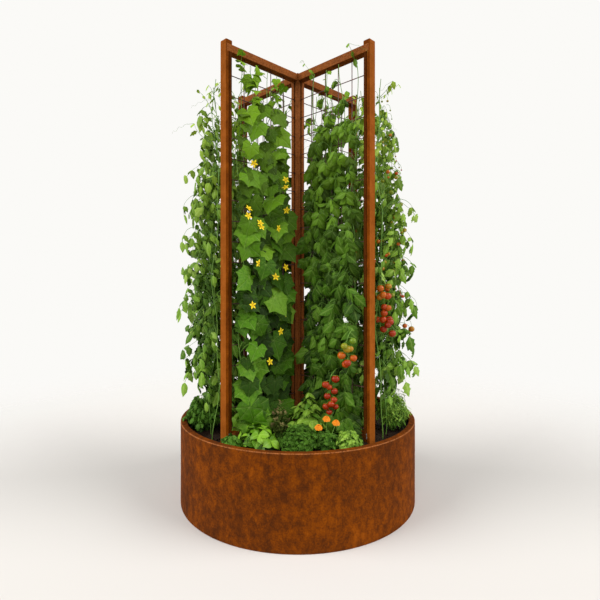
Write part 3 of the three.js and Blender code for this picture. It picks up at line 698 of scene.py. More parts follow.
cucumberBlade = palmTemplate(
    (0, 5, 10, 16, 22, 28, 34, 40, 46, 52, 57, 63, 70, 77, 84, 92, 100, 108, 116, 126, 140, 158),
    (1.06, 0.94, 0.87, 0.81, 0.76, 0.71, 0.67, 0.67, 0.69, 0.74, 0.79, 0.71, 0.67, 0.62, 0.60,
     0.60, 0.63, 0.69, 0.61, 0.58, 0.54, 0.46), (0, 57, 108))
sideBlade = bladeTemplate((0.19, 0.31, 0.26, 0.29, 0.17, 0.10), 0.3, 0.012, 0.1)
broadBlade = bladeTemplate((0.17, 0.28, 0.32, 0.28, 0.19, 0.08), 0.3, 0.012, 0.05)
beanBlade = bladeTemplate((0.20, 0.31, 0.33, 0.27, 0.20, 0.09), 0.3, 0.012, 0.06)
basilBlade = bladeTemplate((0.19, 0.32, 0.38, 0.37, 0.29, 0.15), -0.3, 0.035)
starBlade = bladeTemplate((0.17, 0.26, 0.22, 0.12), 0.15, 0.02)
curlyBlade = bladeTemplate((0.22, 0.42, 0.24, 0.44, 0.2, 0.26, 0.08), 0.2, 0.02, 0.5)
lobedBlade = bladeTemplate((0.16, 0.38, 0.22, 0.40, 0.2, 0.18), 0.25, 0.015, 0.15)
slimBlade = bladeTemplate((0.07, 0.1, 0.06), 0.2, 0.015)
petalBlade = bladeTemplate((0.12, 0.26, 0.34, 0.2), 0.15, 0.02, 0.12)


# Blades set on: base, along and face are (n, 3), length and width (n,). The blade bends towards
# its back by droop times the square of the way along.
def blades(template, base, along, face, length, width=1.0, droop=0.3, tint=0.5, young=0.0,
           paint=0):
    points, faces, across = template
    count, size = len(base), len(points)
    along = unit(along)
    aside = unit(np.cross(along, face))
    face = np.cross(aside, along)
    length, width, droop, tint, young = (
        np.broadcast_to(each, count)[:, None] for each in (length, width, droop, tint, young))
    x = points[None, :, 0] * width
    y = points[None, :, 1] * np.ones_like(x)
    z = points[None, :, 2] - droop * y ** 2
    y = y * (1 - 0.3 * droop * y)
    place = base[:, None] + length[..., None] * sum(
        amount[..., None] * axis[:, None] for amount, axis in ((x, aside), (y, along), (z, face)))
    return part(place.reshape(-1, 3), copied(faces, count, size), np.tile(across, (count, 1)),
                np.repeat(tint[:, 0], size), np.repeat(young[:, 0], size), paint)


# Compound leaves: a bent stalk with an end leaflet and pairs on the way. turn is between a
# leaflet and the stalk, tip the share of the end leaflet's size, stray and roll what chance adds.
compoundLook = {"turn": math.radians(58), "tip": 1.15, "thick": 0.0009, "stray": 0.14, "roll": 0.18}


def compound(template, base, along, face, length, leaflet, random, pairs=(0.42, 0.74),
             droop=0.5, tint=0.5, young=0.0):
    count = len(base)
    along, face = unit(along), unit(face)
    aside = unit(np.cross(along, face))
    face = np.cross(aside, along)
    length, droop = (np.broadcast_to(each, count)[:, None] for each in (length, droop))
    middle = base + 0.5 * length * along
    end = base + length * (along - droop * face)
    tipAlong = unit(end - middle)
    spots, ways, faces, sizes, tints = [end], [tipAlong], [face], [compoundLook["tip"]], [tint]
    turn, stray, roll = (compoundLook[key] for key in ("turn", "stray", "roll"))
    for at in pairs:
        spot = bezier(base, middle, end, np.full((1, 1), at))[:, 0]
        for side in (-1, 1):
            way = tipAlong * math.cos(turn) + side * aside * math.sin(turn)
            spots.append(spot)
            ways.append(way + random.normal(0, stray, (count, 3)) - 0.25 * up)
            faces.append(face + random.normal(0, roll, (count, 3)) + 0.35 * side * aside)
            sizes.append(0.65 + 0.35 * at)
            tints.append(tint + random.normal(0, 0.06, count))
    total = count * len(spots)
    sizes = np.repeat(sizes, count) * leaflet * random.uniform(0.85, 1.15, total)
    return [stalks(base, middle, end, 4, 3, compoundLook["thick"]), blades(
        template, np.concatenate(spots), np.concatenate(ways), np.concatenate(faces), sizes,
        random.uniform(0.85, 1.1, total), random.uniform(0.1, 0.55, total),
        np.concatenate(tints), np.tile(young, len(spots)))]


# Places strewn over a solid's faces, each as likely as its area and its height allow.
def strewn(node, count, random, favour):
    mesh = nodes[node].data
    mesh.calc_loop_triangles()
    corners = np.zeros(3 * len(mesh.loop_triangles), np.int32)
    mesh.loop_triangles.foreach_get("vertices", corners)
    places = np.zeros(3 * len(mesh.vertices))
    mesh.vertices.foreach_get("co", places)
    a, b, c = places.reshape(-1, 3)[corners.reshape(-1, 3)].transpose(1, 0, 2)
    normal = np.cross(b - a, c - a)
    chance = np.linalg.norm(normal, axis=1) * favour((a + b + c) / 3, unit(normal))
    picked = random.choice(len(a), count, p=chance / chance.sum())
    first, second = np.sqrt(random.random(count))[:, None], random.random(count)[:, None]
    return ((1 - first) * a[picked] + first * (1 - second) * b[picked]
            + first * second * c[picked])


def evenly(places, count, random):  # each next place is the one farthest from those taken
    taken = [int(random.integers(len(places)))]
    gap = np.linalg.norm(places - places[taken[0]], axis=1)
    for _ in range(count - 1):
        taken.append(int(gap.argmax()))
        gap = np.minimum(gap, np.linalg.norm(places - places[taken[-1]], axis=1))
    return places[taken]


# A climber: stems run up the mesh, shoots arch from them to places spread evenly over the plant's
# own solid, and leaves hang along the shoots. at and deep are shares of the way out: of a leaf
# along its shoot, and of a shoot's end towards the solid's skin. light turns the leaves' faces,
# small is the size of the top leaves, large the share of full-grown ones, and reach keeps leaves
# clear of the core, by its first figure low down and by its second at the top, and short of a post.
# skirt is the number of leaves that hang low over the bottom rail, short is how far below the
# solid's top the stems end, and sparse thins the leaves out between two heights, by its last share.
sideVine = {"skin": 120, "inside": 90, "at": (0.6, 1.0), "leaf": 0.060, "stalk": 0.064,
            "pairs": (0.5,), "arch": 0.45, "deep": (0.8, 1.02), "stemThick": 0.0024, "out": 0.85,
            "hang": 0.8, "fan": 0.6, "show": 0.3, "light": 0.9, "sparse": (1.4, 2.15, 0.7),
            "lift": 0.03, "small": 0.75, "large": 1.0, "short": 0.10, "reach": None,
            "blade": sideBlade, "finish": sideLeaf, "slot": "tomato_leaf"}
armVine = {"skin": 95, "inside": 110, "at": (0.65, 1.0), "leaf": 0.068, "stalk": 0.050,
           "pairs": (0.42, 0.74), "arch": 0.35, "deep": (0.75, 1.0), "stemThick": 0.0022,
           "out": 0.45, "hang": 1.0, "fan": 0.6, "show": 0.5, "light": 0.8,
           "sparse": (1.75, 2.08, 0.85), "lift": 0.06, "small": 0.5, "large": 1.0, "skirt": 26,
           "short": 0.02, "reach": (0.06, 0.10, 0.39), "blade": broadBlade, "finish": tomatoLeaf,
           "slot": "tomato_leaf"}
cucumberVine = {**armVine, "skin": 10, "inside": 150, "at": (1.0,), "leaf": 0.094, "stalk": None,
                "arch": 0.55, "deep": (0.8, 1.0), "stemThick": 0.0024, "out": 0.4, "fan": 0.5,
                "show": 0.4, "light": 0.95, "lift": 0.085, "small": 0.62, "large": 0.55,
                "skirt": 14, "reach": (0.065, 0.10, 0.38), "blade": cucumberBlade,
                "finish": vineLeaf, "slot": "vine_leaf"}
# What all climbers share: clearOver, youngOver and sizeOver are heights between which the
# clearance, the young hue and the size change, and inner is the size of the leaves further in.
vineLook = {"steps": 40, "strewn": 5000, "tipStray": 0.016, "clearOver": (1.45, 1.85),
            "youngOver": (1.1, 2.0), "sizeOver": (0.4, 1.4, 2.1), "inner": 0.62, "wave": 0.012,
            "stray": 0.18, "roll": 0.36, "stemThin": 0.0015, "shoot": (0.0017, 0.0009)}


def leafTips(node):  # corners of a solid that stand out from, and hang below, those beside them
    work = bmesh.new()
    work.from_mesh(nodes[node].data)
    bmesh.ops.remove_doubles(work, verts=work.verts, dist=1e-6)
    centre = sum((vert.co for vert in work.verts), Vector()) / len(work.verts)
    found = []
    for vert in work.verts:
        beside = [edge.other_vert(vert).co for edge in vert.link_edges]
        middle = sum(beside, Vector()) / len(beside)
        stands = (vert.co - centre).xy.length - (middle - centre).xy.length
        if stands > 0.004 and middle.z - vert.co.z > 0.008:
            found.append(tuple(vert.co))
    work.free()
    return np.array(found)


def stemPaths(feet, heads, random, low, high):  # straight from foot to head, but for two waves
    steps = vineLook["steps"]
    share = np.linspace(0, 1, steps)[None, :, None]
    feet, heads = np.array(feet)[:, None], np.array(heads)[:, None]
    phase = random.uniform(0, 6, (len(feet), 1, 2))
    plan = feet + (heads - feet) * share
    plan = plan + vineLook["wave"] * (
        np.sin(13 * share + phase) + 0.5 * np.sin(29 * share + 2 * phase))
    height = np.broadcast_to(low + (high - low) * share, (len(feet), steps, 1))
    return np.concatenate([plan, height], -1)


def onStems(paths, height):  # the place on each stem at each height: (stems, n, 3)
    steps = paths[0, :, 2]
    return np.stack([np.stack([np.interp(height, steps, path[:, axis]) for axis in range(3)], -1)
                     for path in paths])


def nearestSites(paths, places, height):  # at each height, on the stem nearest to the place
    sites = onStems(paths, height)
    nearest = np.linalg.norm(sites[..., :2] - places[None, :, :2], axis=-1).argmin(0)
    return sites[nearest, np.arange(len(places))]


def shootGoals(node, look, heads, away, bayOut, random):  # where shoots end, and which are outside
    def favour(middle, normal):
        return 0.15 + np.clip(normal @ away, 0, 1) + 0.6 * np.clip(normal @ bayOut, 0, 1)

    spread = strewn(node, vineLook["strewn"], random, favour)
    tips = leafTips(node)
    tips = tips + random.normal(0, vineLook["tipStray"], tips.shape) + look["lift"] * up
    goal = np.concatenate([tips, evenly(spread, look["skin"], random),
                           spread[random.integers(0, len(spread), look["inside"])]])
    isSkin = np.arange(len(goal)) < look["skin"] + len(tips)
    if look["reach"]:
        plan, ahead, skirt = unit(np.subtract(heads[-1], heads[0])), bayOut[:2], look["skirt"]
        beside = unit(plan - (plan @ ahead) * ahead)
        aside = unit(ahead - (plan @ ahead) * plan)
        clear = np.interp(goal[:, 2], vineLook["clearOver"], look["reach"][:2])
        short = (clear - goal[:, :2] @ beside) / (plan @ beside)
        goal[:, :2] += np.outer(np.clip(short, 0, None), plan)
        over = goal[:, :2] @ plan - look["reach"][2]
        goal[:, :2] -= np.outer(np.clip(over, 0, None), plan)
        hung = np.outer(random.uniform(0.12, 0.40, skirt), plan) + np.outer(
            random.uniform(0.05, 0.09, skirt), aside)
        hung = np.column_stack([hung, soilTop + random.uniform(0.09, 0.17, skirt)])
        goal = np.concatenate([hung, goal])
        isSkin = np.concatenate([np.full(skirt, True), isSkin])
    low, top, loss = look["sparse"]
    kept = random.random(len(goal)) > loss * np.clip((goal[:, 2] - low) / (top - low), 0, 1)
    return goal[kept], isSkin[kept]


def climber(node, look, feet, heads, away, bayOut, seed):
    random = np.random.default_rng(seed)
    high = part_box(node)[1][2]
    away, bayOut = np.array([*away, 0.0]), np.array([*bayOut, 0.0])
    paths = stemPaths(feet, heads, random, soilTop - 0.02, high - look["short"])
    goal, isSkin = shootGoals(node, look, heads, away, bayOut, random)
    count = len(goal)
    isLarge = isSkin & (random.random(count) < look["large"])
    deep = np.where(isLarge, random.uniform(*look["deep"], count),
                    random.uniform(0.25, 0.8, count))[:, None]
    lift = 0.02 + np.abs(random.normal(0, 0.03, count))
    start = nearestSites(paths, goal, np.clip(goal[:, 2] - lift, soilTop + 0.03, high - 0.04))
    end = start + (goal - start) * deep
    run = np.linalg.norm(end - start, axis=1, keepdims=True)
    middle = 0.45 * start + 0.55 * end + up * (look["arch"] * run + 0.01)
    radii = np.linspace(look["stemThick"], vineLook["stemThin"], vineLook["steps"])
    parts = [tubes(paths, radii, 6, paint=1),
             stalks(start, middle, end, 7, 4, *vineLook["shoot"])]
    for at in look["at"]:
        share = np.clip(at + random.normal(0, 0.04, (count, 1)), 0.1, 1)
        spot = bezier(start, middle, end, share)[:, 0]
        outward = unit((end - start) * [1, 1, 0] + 0.25 * away + 0.1 * bayOut)
        sideways = np.cross(outward, up) * random.normal(0, look["fan"], (count, 1))
        along = outward * look["out"] + sideways - look["hang"] * up + random.normal(
            0, vineLook["stray"], (count, 3))
        face = (outward * look["show"] + bayOut * look["light"] + 0.5 * up
                + random.normal(0, vineLook["roll"], (count, 3)))
        height = spot[:, 2]
        young = np.interp(height, vineLook["youngOver"], (0.05, 0.9)) * random.uniform(
            0.3, 1, count)
        size = np.interp(height, vineLook["sizeOver"], (1.0, 0.95, look["small"])) * random.uniform(
            0.75, 1.25, count) * np.where(isLarge, 1.0, vineLook["inner"])
        # leaves further in and nearer the stem get a lower tint and a darker hue: painted shade
        # inside the foliage, with a random spread for each leaf's own tone
        tint = np.where(isLarge, 0.6, 0.18) * at + random.normal(0.08, 0.18, count)
        tint = np.clip(tint, 0, 1)
        if look["stalk"]:
            leaflets = np.tile(look["leaf"] * size, 1 + 2 * len(look["pairs"]))
            parts += compound(look["blade"], spot, along, face, look["stalk"] * size, leaflets,
                              random, look["pairs"], random.uniform(0.25, 0.7, count), tint, young)
        else:
            parts.append(blades(look["blade"], spot, along, face, look["leaf"] * size,
                                random.uniform(0.9, 1.1, count),
                                random.uniform(-0.1, 0.25, count), tint, young))
    return parts + newGrowth(paths, away, look["blade"], random), paths, random


# Young tips at the top: thin shoots with a few small bright leaves, and tendrils that hang.
growthLook = {"shoots": 3, "from": 0.35, "rise": (0.02, 0.12), "leaf": 0.035, "tendrils": 5}


def newGrowth(paths, away, blade, random):
    count = growthLook["shoots"] * len(paths)
    top = paths[0, -1, 2]
    sites = onStems(paths, top - random.uniform(0, growthLook["from"], count))
    start = sites[np.arange(count) % len(paths), np.arange(count)]
    way = random.normal(0, 0.05, (count, 3)) * [1, 1, 0] + 0.02 * away
    end = start + way + np.outer(random.uniform(*growthLook["rise"], count), up)
    end[:, 2] = np.minimum(end[:, 2], top + 0.06)
    middle = (start + end) / 2 + random.normal(0, 0.02, (count, 3))
    parts = [stalks(start, middle, end, 8, 4, 0.0014, 0.0006)]
    for share in (0.4, 0.7, 1.0):
        spot = bezier(start, middle, end, np.full((1, 1), share))[:, 0]
        along = random.normal(0, 0.6, (count, 3)) * [1, 1, 0.5] - 0.5 * up + 0.3 * away
        face = random.normal(0, 0.3, (count, 3)) + up + 0.5 * away
        length = growthLook["leaf"] * random.uniform(0.6, 1.3, count)
        parts.append(blades(blade, spot, along, face, length, 1.0, 0.4, 0.7, 0.95))
    start = end[:growthLook["tendrils"]]
    return parts + [tendrils(start, random.normal(0, 1, start.shape) * [1, 1, 0.2], random)]


# A tendril runs along its way, coils round it in ever wider turns and sags with the square.
tendrilLook = {"turns": 3.0, "thick": (0.0007, 0.0003), "length": (0.05, 0.12), "coil": 0.007,
               "sag": 0.05, "steps": 28}


def tendrils(start, way, random):
    share = np.linspace(0, 1, tendrilLook["steps"])[None]
    length = random.uniform(*tendrilLook["length"], len(start))[:, None]
    way = unit(way)
    aside = unit(np.cross(way, [0.2, 0.1, 1.0]))
    turn = 2 * np.pi * tendrilLook["turns"] * share ** 1.5
    path = start[:, None] - (tendrilLook["sag"] * share ** 2)[..., None] * up
    for amount, axis in ((length * share, way), (tendrilLook["coil"] * share * np.cos(turn), aside),
                         (tendrilLook["coil"] * share * np.sin(turn), np.cross(way, aside))):
        path = path + amount[..., None] * axis[:, None]
    return tubes(path, np.linspace(*tendrilLook["thick"], tendrilLook["steps"]), 4, paint=1)


# Five petals round a small eye, facing the given way.
def starFlowers(centre, facing, size, random):
    facing = unit(facing)
    aside = unit(np.cross(facing, [0.3, 0.2, 1.0]))
    over = np.cross(facing, aside)
    parts = []
    first = random.uniform(0, 6, len(centre))
    for k in range(5):
        turn = (first + 2 * np.pi * k / 5)[:, None]
        way = np.cos(turn) * aside + np.sin(turn) * over
        parts.append(blades(starBlade, centre + 0.1 * size * way, way + 0.35 * facing, facing, size,
                            1.0, 0.25, random.uniform(0, 1, len(centre)), paint=2))
    eye = np.stack([centre - 0.3 * size * facing, centre + 0.15 * size * facing], 1)
    return parts + [tubes(eye, [0.12 * size, 0.2 * size], 6, paint=2)]


flowerLook = {"count": 18, "size": 0.0195, "from": 0.7, "to": 1.65, "clear": 0.16, "tendrils": 16}


def cucumberExtras(node, away, paths, random):
    away, count = np.array([*away, 0.0]), flowerLook["tendrils"]
    spots = strewn(node, flowerLook["count"], random, lambda middle, normal: (
        np.clip(normal @ away, 0, 1) * (middle[:, 2] > flowerLook["from"])
        * (middle[:, 2] < flowerLook["to"])
        * (np.hypot(middle[:, 0], middle[:, 1]) > flowerLook["clear"])))
    spots = spots + 0.02 * away
    facing = away + random.normal(0, 0.35, spots.shape) + 0.2 * up
    parts = starFlowers(spots, facing, flowerLook["size"], random)
    root = nearestSites(paths, spots, spots[:, 2] - 0.02)
    parts.append(stalks(root, (root + spots) / 2 + 0.02 * up, spots, 6, 4, 0.001))
    height = random.uniform(1.3, paths[0, -1, 2], count)
    start = onStems(paths, height)[random.integers(0, len(paths), count), np.arange(count)]
    way = random.normal(0, 1, (count, 3)) * [1, 1, 0.4] + away
    return parts + [tendrils(start, way, random)]


# Tomatoes: a ribbed ball with a green star on top.
fruitLook = {"rows": 9, "sides": 14, "ribs": 5, "ribDepth": 0.03, "squash": 0.92}


def berryTemplate():
    rows, sides, squash = (fruitLook[key] for key in ("rows", "sides", "squash"))
    lift = np.linspace(0, np.pi, rows + 2)[1:-1, None]
    turn = turnSteps(sides)[None, :]
    reach = 1 + fruitLook["ribDepth"] * np.cos(fruitLook["ribs"] * turn) * np.cos(lift / 2) ** 2
    rings = np.stack([reach * np.sin(lift) * np.cos(turn), reach * np.sin(lift) * np.sin(turn),
                      squash * np.cos(lift) * np.ones_like(turn)], -1)
    points = np.concatenate([rings.reshape(-1, 3), [[0, 0, 0.8 * squash], [0, 0, -squash]]])
    return points, turnedOut(points, closedFaces(rows, sides))


berry = berryTemplate()


def berries(centre, radius, ripe, random, paints):  # paints: of the fruit and of its star
    points, faces = berry
    count, size = len(centre), len(points)
    placed = centre[:, None] + points[None] * radius[:, None, None]
    parts = [part(placed.reshape(-1, 3), copied(faces, count, size),
                  tint=np.repeat(ripe, size), paint=paints[0])]
    crown = centre + np.outer(radius * fruitLook["squash"] * 0.9, up)
    first = random.uniform(0, 6, count)
    for k in range(5):
        turn = first + 2 * np.pi * k / 5
        way = np.stack([np.cos(turn), np.sin(turn), np.full(count, 0.25)], -1)
        parts.append(blades(slimBlade, crown, way, np.tile(up, (count, 1)), 0.75 * radius, 1.6,
                            0.35, 0.4, paint=paints[1]))
    return parts, crown


# Small fruit on short stalks, low ones ripe: places are strewn over the solid.
looseLook = {"count": 60, "radius": (0.004, 0.012), "from": 0.85, "to": 2.0}


def looseFruit(node, away, paths, random):
    away, low, high = unit(np.array([*away, 0.0])), looseLook["from"], looseLook["to"]
    spots = strewn(node, looseLook["count"], random, lambda middle, normal: (
        np.clip(normal @ away, 0, 1) * (middle[:, 2] > low) * (middle[:, 2] < high)))
    share = (spots[:, 2] - low) / (high - low)
    radius = np.interp(share, (0, 0.6, 1), (1.5, 1.0, 0.6)) * random.uniform(
        *looseLook["radius"], len(spots))
    ripe = np.clip(random.uniform(0.25, 0.9, len(spots)) - 0.3 * share, 0, 1)
    parts, crown = berries(spots + 0.012 * away, radius, ripe, random, (3, 1))
    root = crown - 0.03 * away + 0.035 * up
    return parts + [stalks(root, crown + 0.03 * up, crown, 6, 4, 0.0009)]


def mirrored(spots, signX, signY):
    return [(x * signX, y * signY) for x, y in spots]


def armSpots(across, arm, runs, off):  # plan places beside an arm
    return [tuple(armAxes(arm)[0][:2] * run + across * off) for run in runs]


sideFeet = [(0.385, -0.27), (0.33, -0.16), (0.30, -0.08), (0.42, -0.20)]
sideHeads = [(0.385, -0.262), (0.33, -0.13), (0.31, -0.06), (0.40, -0.17)]
vineRows = []  # node, look, feet, heads, away from the mesh, out of the bay, seed, extras
for node, signX, signY, seed in (("tomato_right_front", 1, 1, 11), ("tomato_right_back", 1, -1, 12),
                                 ("bean_left_front", -1, 1, 13), ("bean_left_back", -1, -1, 14)):
    vineRows.append((node, sideVine, mirrored(sideFeet, signX, signY),
                     mirrored(sideHeads, signX, signY), (signX, 0), (0.4 * signX, -signY), seed,
                     (looseFruit, (0.5 * signX, -signY)) if node.startswith("tomato") else None))
for node, arm, side, bayOut, seed, look in (
        ("tomato_front", "front_right", -1, (0, -1), 21, armVine),
        ("bean_back_left", "back_left", -1, (0, 1), 22, armVine),
        ("cucumber_front", "front_left", 1, (0, -1), 23, cucumberVine),
        ("cucumber_back_right", "back_right", 1, (0, 1), 24, cucumberVine)):
    across = armAxes(arm)[1][:2] * side
    vineRows.append((node, look, armSpots(across, arm, (0.13, 0.22, 0.31, 0.39), 0.030),
                     armSpots(across, arm, (0.15, 0.24, 0.32, 0.40), 0.022), across, bayOut, seed,
                     (cucumberExtras, across) if look is cucumberVine else None))
for node, look, feet, heads, away, bayOut, seed, extras in vineRows:
    parts, paths, random = climber(node, look, feet, heads, away, bayOut, seed)
    if extras:
        parts += extras[0](node, extras[1], paths, random)
    made = piece(node + "Leaves", parts, [look["finish"], greenStem, cucumberPetal, tomatoSkin], 75)
    dressed(made, look["slot"], node)
    print(node, "grown")

# Trusses of tomatoes hang by short stalks from a bent stem. ripe runs from the knee to the end.
trusses = {
    "fruit_truss_front_upper": {"knee": (0.221, -0.404, 0.850), "drop": 0.105, "fruit": 8,
                                "ripe": (0.02, 0.8), "root": (0.262, -0.300, 0.875), "seed": 31},
    "fruit_truss_front_lower": {"knee": (0.150, -0.340, 0.665), "drop": 0.150, "fruit": 10,
                                "ripe": (0.85, 0.95), "root": (0.200, -0.240, 0.685), "seed": 36},
    "fruit_truss_right": {"knee": (0.412, -0.268, 1.100), "drop": 0.240, "fruit": 14,
                          "ripe": (0.4, 0.95), "root": (0.385, -0.262, 1.125), "seed": 33},
}
trussLook = {"radius": 0.0172, "aside": (0.014, 0.030), "sway": 0.012}


def hungTruss(node, look):
    random = np.random.default_rng(look["seed"])
    knee, root = np.array([look["knee"]]), np.array([look["root"]])
    foot = knee + [trussLook["sway"], 0, -look["drop"]]
    count = look["fruit"]
    share = np.sort(np.clip(np.linspace(0.05, 1, count) + random.normal(0, 0.06, count), 0, 1))
    bend = (knee + foot) / 2 - [2 * trussLook["sway"], 0, 0]
    place = bezier(knee, bend, foot, share[None])[0]
    turn = 2.4 * np.arange(count) + random.normal(0, 0.4, count)
    away = np.stack([np.cos(turn), -0.25 - 0.75 * np.abs(np.sin(turn)), np.full(count, -0.5)], -1)
    radius = trussLook["radius"] * random.uniform(0.8, 1.1, count)
    centre = place + random.uniform(*trussLook["aside"], count)[:, None] * away
    ripe = np.interp(share, (0, 1), look["ripe"]) + random.normal(0, 0.08, count)
    parts, crown = berries(centre, radius, ripe, random, (1, 0))
    parts += [
        stalks(knee, bend, foot, 9, 6, 0.0018, paint=0),
        stalks(root, (root + knee) / 2 + 0.02 * up, knee, 8, 6, 0.002, paint=0),
        stalks(place, (place + crown) / 2 + 0.006 * up, crown, 5, 5, 0.0011, paint=0)]
    dressed(piece(node + "Fruit", parts, [greenStem, tomatoSkin], 75), "tomato_fruit", node)


for node, look in trusses.items():
    hungTruss(node, look)
print("trusses hung")

# Herbs: stems fan out of one foot, and leaves or small compound leaves stand along them.
# lean is how far the outer stems tip over, at the places of the leaves along a stem, taper how
# much smaller they get up it, and lie how flat a leaf lies on the dome that the tuft makes.
tuft = {"lean": 0.8, "at": (0.6, 0.85, 1.0), "around": 2, "taper": 0.25, "stalk": None,
        "droop": 0.3, "lie": 0.4, "finish": herbLeaf, "slot": "herb_leaf", "flowers": False}
herbLooks = {
    "basil": {"stems": 6, "lean": 0.5, "at": (0.4, 0.75, 1.0), "around": 4, "leaf": 0.078,
              "taper": 0.5, "rise": 0.1, "lie": 0.5, "blade": basilBlade, "seed": 51,
              "finish": basilLeaf, "slot": "basil_leaf"},
    "purple_basil": {"stems": 15, "lean": 0.6, "at": (0.4, 0.52, 0.64, 0.76, 0.88, 1.0),
                     "around": 3, "leaf": 0.026, "taper": 0.4, "rise": 0.9, "droop": 0.2,
                     "lie": 0.1, "blade": beanBlade, "seed": 52, "finish": purpleLeaf,
                     "slot": "purple_leaf"},
    "sweet_pepper": {"stems": 14, "lean": 0.6, "at": (0.4, 0.65, 0.85, 1.0), "around": 4,
                     "leaf": 0.066, "taper": 0.4, "rise": -0.5, "lie": 0.0, "blade": broadBlade,
                     "seed": 53, "finish": brightLeaf, "slot": "bright_leaf"},
    "parsley": {"stems": 80, "leaf": 0.021, "stalk": 0.018, "rise": 0.45, "lie": 0.3,
                "blade": curlyBlade, "seed": 54},
    "marigold": {"stems": 34, "at": (0.4, 0.65, 0.85, 1.0), "leaf": 0.024, "stalk": 0.022,
                 "rise": 0.35, "droop": 0.4, "blade": beanBlade, "seed": 55, "flowers": True},
    "celery": {"stems": 26, "leaf": 0.025, "stalk": 0.022, "rise": 0.4, "droop": 0.35,
               "blade": lobedBlade, "seed": 56, "finish": brightLeaf},
    "lovage": {"stems": 20, "at": (0.5, 0.8, 1.0), "leaf": 0.026, "stalk": 0.024, "rise": 0.3,
               "droop": 0.4, "blade": lobedBlade, "seed": 57},
    "tarragon": {"stems": 50, "lean": 0.45, "at": (0.3, 0.45, 0.6, 0.75, 0.88, 1.0),
                 "leaf": 0.030, "stalk": 0.03, "rise": 0.2, "droop": 0.5, "lie": 0.2,
                 "blade": slimBlade, "seed": 58, "finish": brightLeaf, "slot": "bright_leaf"},
    "fennel": {"stems": 40, "lean": 0.5, "at": (0.35, 0.55, 0.75, 0.9, 1.0), "leaf": 0.032,
               "stalk": 0.03, "rise": 0.15, "droop": 0.6, "lie": 0.3, "blade": lobedBlade,
               "seed": 59},
}
# blooms: which way each head stands off the middle, how far in shares of the radius, how low
bloomLook = {"petals": 80, "size": 0.019, "dome": 0.011, "tilt": 0.4, "above": 0.034,
             "blooms": ((-2.6, 0.85, 0.028), (1.5, 0.5, 0.004), (0.0, 0.85, 0.014))}
tuftLook = {"reach": (0.98, 1.22), "tall": (0.72, 1.0), "thick": (0.0022, 0.0009),
            "stray": 0.3, "roll": 0.15, "sunk": 0.006}
goldenTurn = math.pi * (3 - 5 ** 0.5)


def marigoldHead(head, foot, random):  # petals spiral out and lie over one another, up a low dome
    count, size = bloomLook["petals"], bloomLook["size"]
    share = np.sqrt((np.arange(count) + 0.5) / count)[:, None]
    turn = goldenTurn * np.arange(count)[:, None]
    facing = unit(unit(head * [1, 1, 0]) * bloomLook["tilt"] + up)
    aside = unit(np.cross(facing, [1.0, 0, 0]))
    way = np.cos(turn) * aside + np.sin(turn) * np.cross(facing, aside)
    base = head + 0.35 * size * share * way + bloomLook["dome"] * (0.7 - share ** 2) * facing
    cup = np.stack([head - 0.012 * facing, head - 0.001 * facing])[None]
    return [
        blades(petalBlade, base, way + (0.6 - 0.6 * share) * facing, facing + 0.5 * share * way,
               size * (0.3 + 0.45 * share[:, 0]), 1.3, 0.4, random.uniform(0, 1, count), paint=2),
        stalks(foot[None], (foot + head)[None] / 2, head[None], 6, 5, 0.0014),
        tubes(cup, [[0.003, 0.006]], 8, paint=1)]


def herbTuft(node, look):
    random = np.random.default_rng(look["seed"])
    low, high = (np.array(corner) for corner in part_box(node))
    centre, radius = (low + high)[:2] / 2, (high - low)[:2].min() / 2
    height = high[2] - soilTop - (bloomLook["above"] if look["flowers"] else 0)
    count = look["stems"]
    order = np.arange(count)
    turn = goldenTurn * order + random.normal(0, 0.2, count)
    lean = np.sqrt((order + 0.5) / count)
    way = np.stack([np.cos(turn), np.sin(turn), np.zeros(count)], -1)
    foot = np.array([*centre, soilTop - tuftLook["sunk"]])
    start = foot + way * (0.2 * radius * lean)[:, None]
    reach = radius * lean * random.uniform(*tuftLook["reach"], count)
    tall = (height - 0.2 * look["leaf"]) * (1 - look["lean"] * lean ** 2) * random.uniform(
        *tuftLook["tall"], count)
    end = foot + way * reach[:, None] + np.outer(tall, up)
    middle = start + way * (0.3 * reach)[:, None] + np.outer(0.75 * tall, up)
    parts = [stalks(start, middle, end, 7, 5, *tuftLook["thick"])]
    stray = tuftLook["stray"]
    for step, share in enumerate(look["at"]):
        for k in range(look["around"]):
            at = np.clip(share + random.normal(0, 0.03, (count, 1)), 0.1, 1)
            spot = bezier(start, middle, end, at)[:, 0]
            side = turn + 2 * np.pi * k / look["around"] + 0.9 * step + random.normal(
                0, stray, count)
            rise = random.normal(look["rise"], stray, count)
            out = np.stack([np.cos(side), np.sin(side), rise], -1) + 0.6 * way * lean[:, None]
            crown = unit(spot - foot - 0.25 * height * up)
            out = out - look["lie"] * np.einsum("ij,ij->i", out, crown)[:, None] * crown
            face = crown + 0.4 * up + random.normal(0, tuftLook["roll"], (count, 3))
            tint = np.clip(0.2 + 0.45 * share + random.normal(0, 0.14, count), 0, 1)
            size = look["leaf"] * random.uniform(0.75, 1.15, count) * (1.1 - look["taper"] * share)
            young = np.full(count, 0.5 * share ** 4)
            if look["stalk"]:
                parts += compound(look["blade"], spot, out, face, look["stalk"], np.tile(size, 5),
                                  random, droop=look["droop"], tint=tint, young=young)
            else:
                parts.append(blades(look["blade"], spot, out, face, size, 1.0, look["droop"],
                                    tint, young))
    for turn, share, below in bloomLook["blooms"] if look["flowers"] else ():
        head = np.array([centre[0] + share * radius * math.cos(turn),
                         centre[1] + share * radius * math.sin(turn), high[2] - below])
        parts += marigoldHead(head, foot, random)
    made = piece(node + "Tuft", parts, [look["finish"], greenStem, marigoldPetal], 75)
    dressed(made, look["slot"], node)


for node, look in herbLooks.items():
    herbTuft(node, {**tuft, **look})
print("herbs planted")

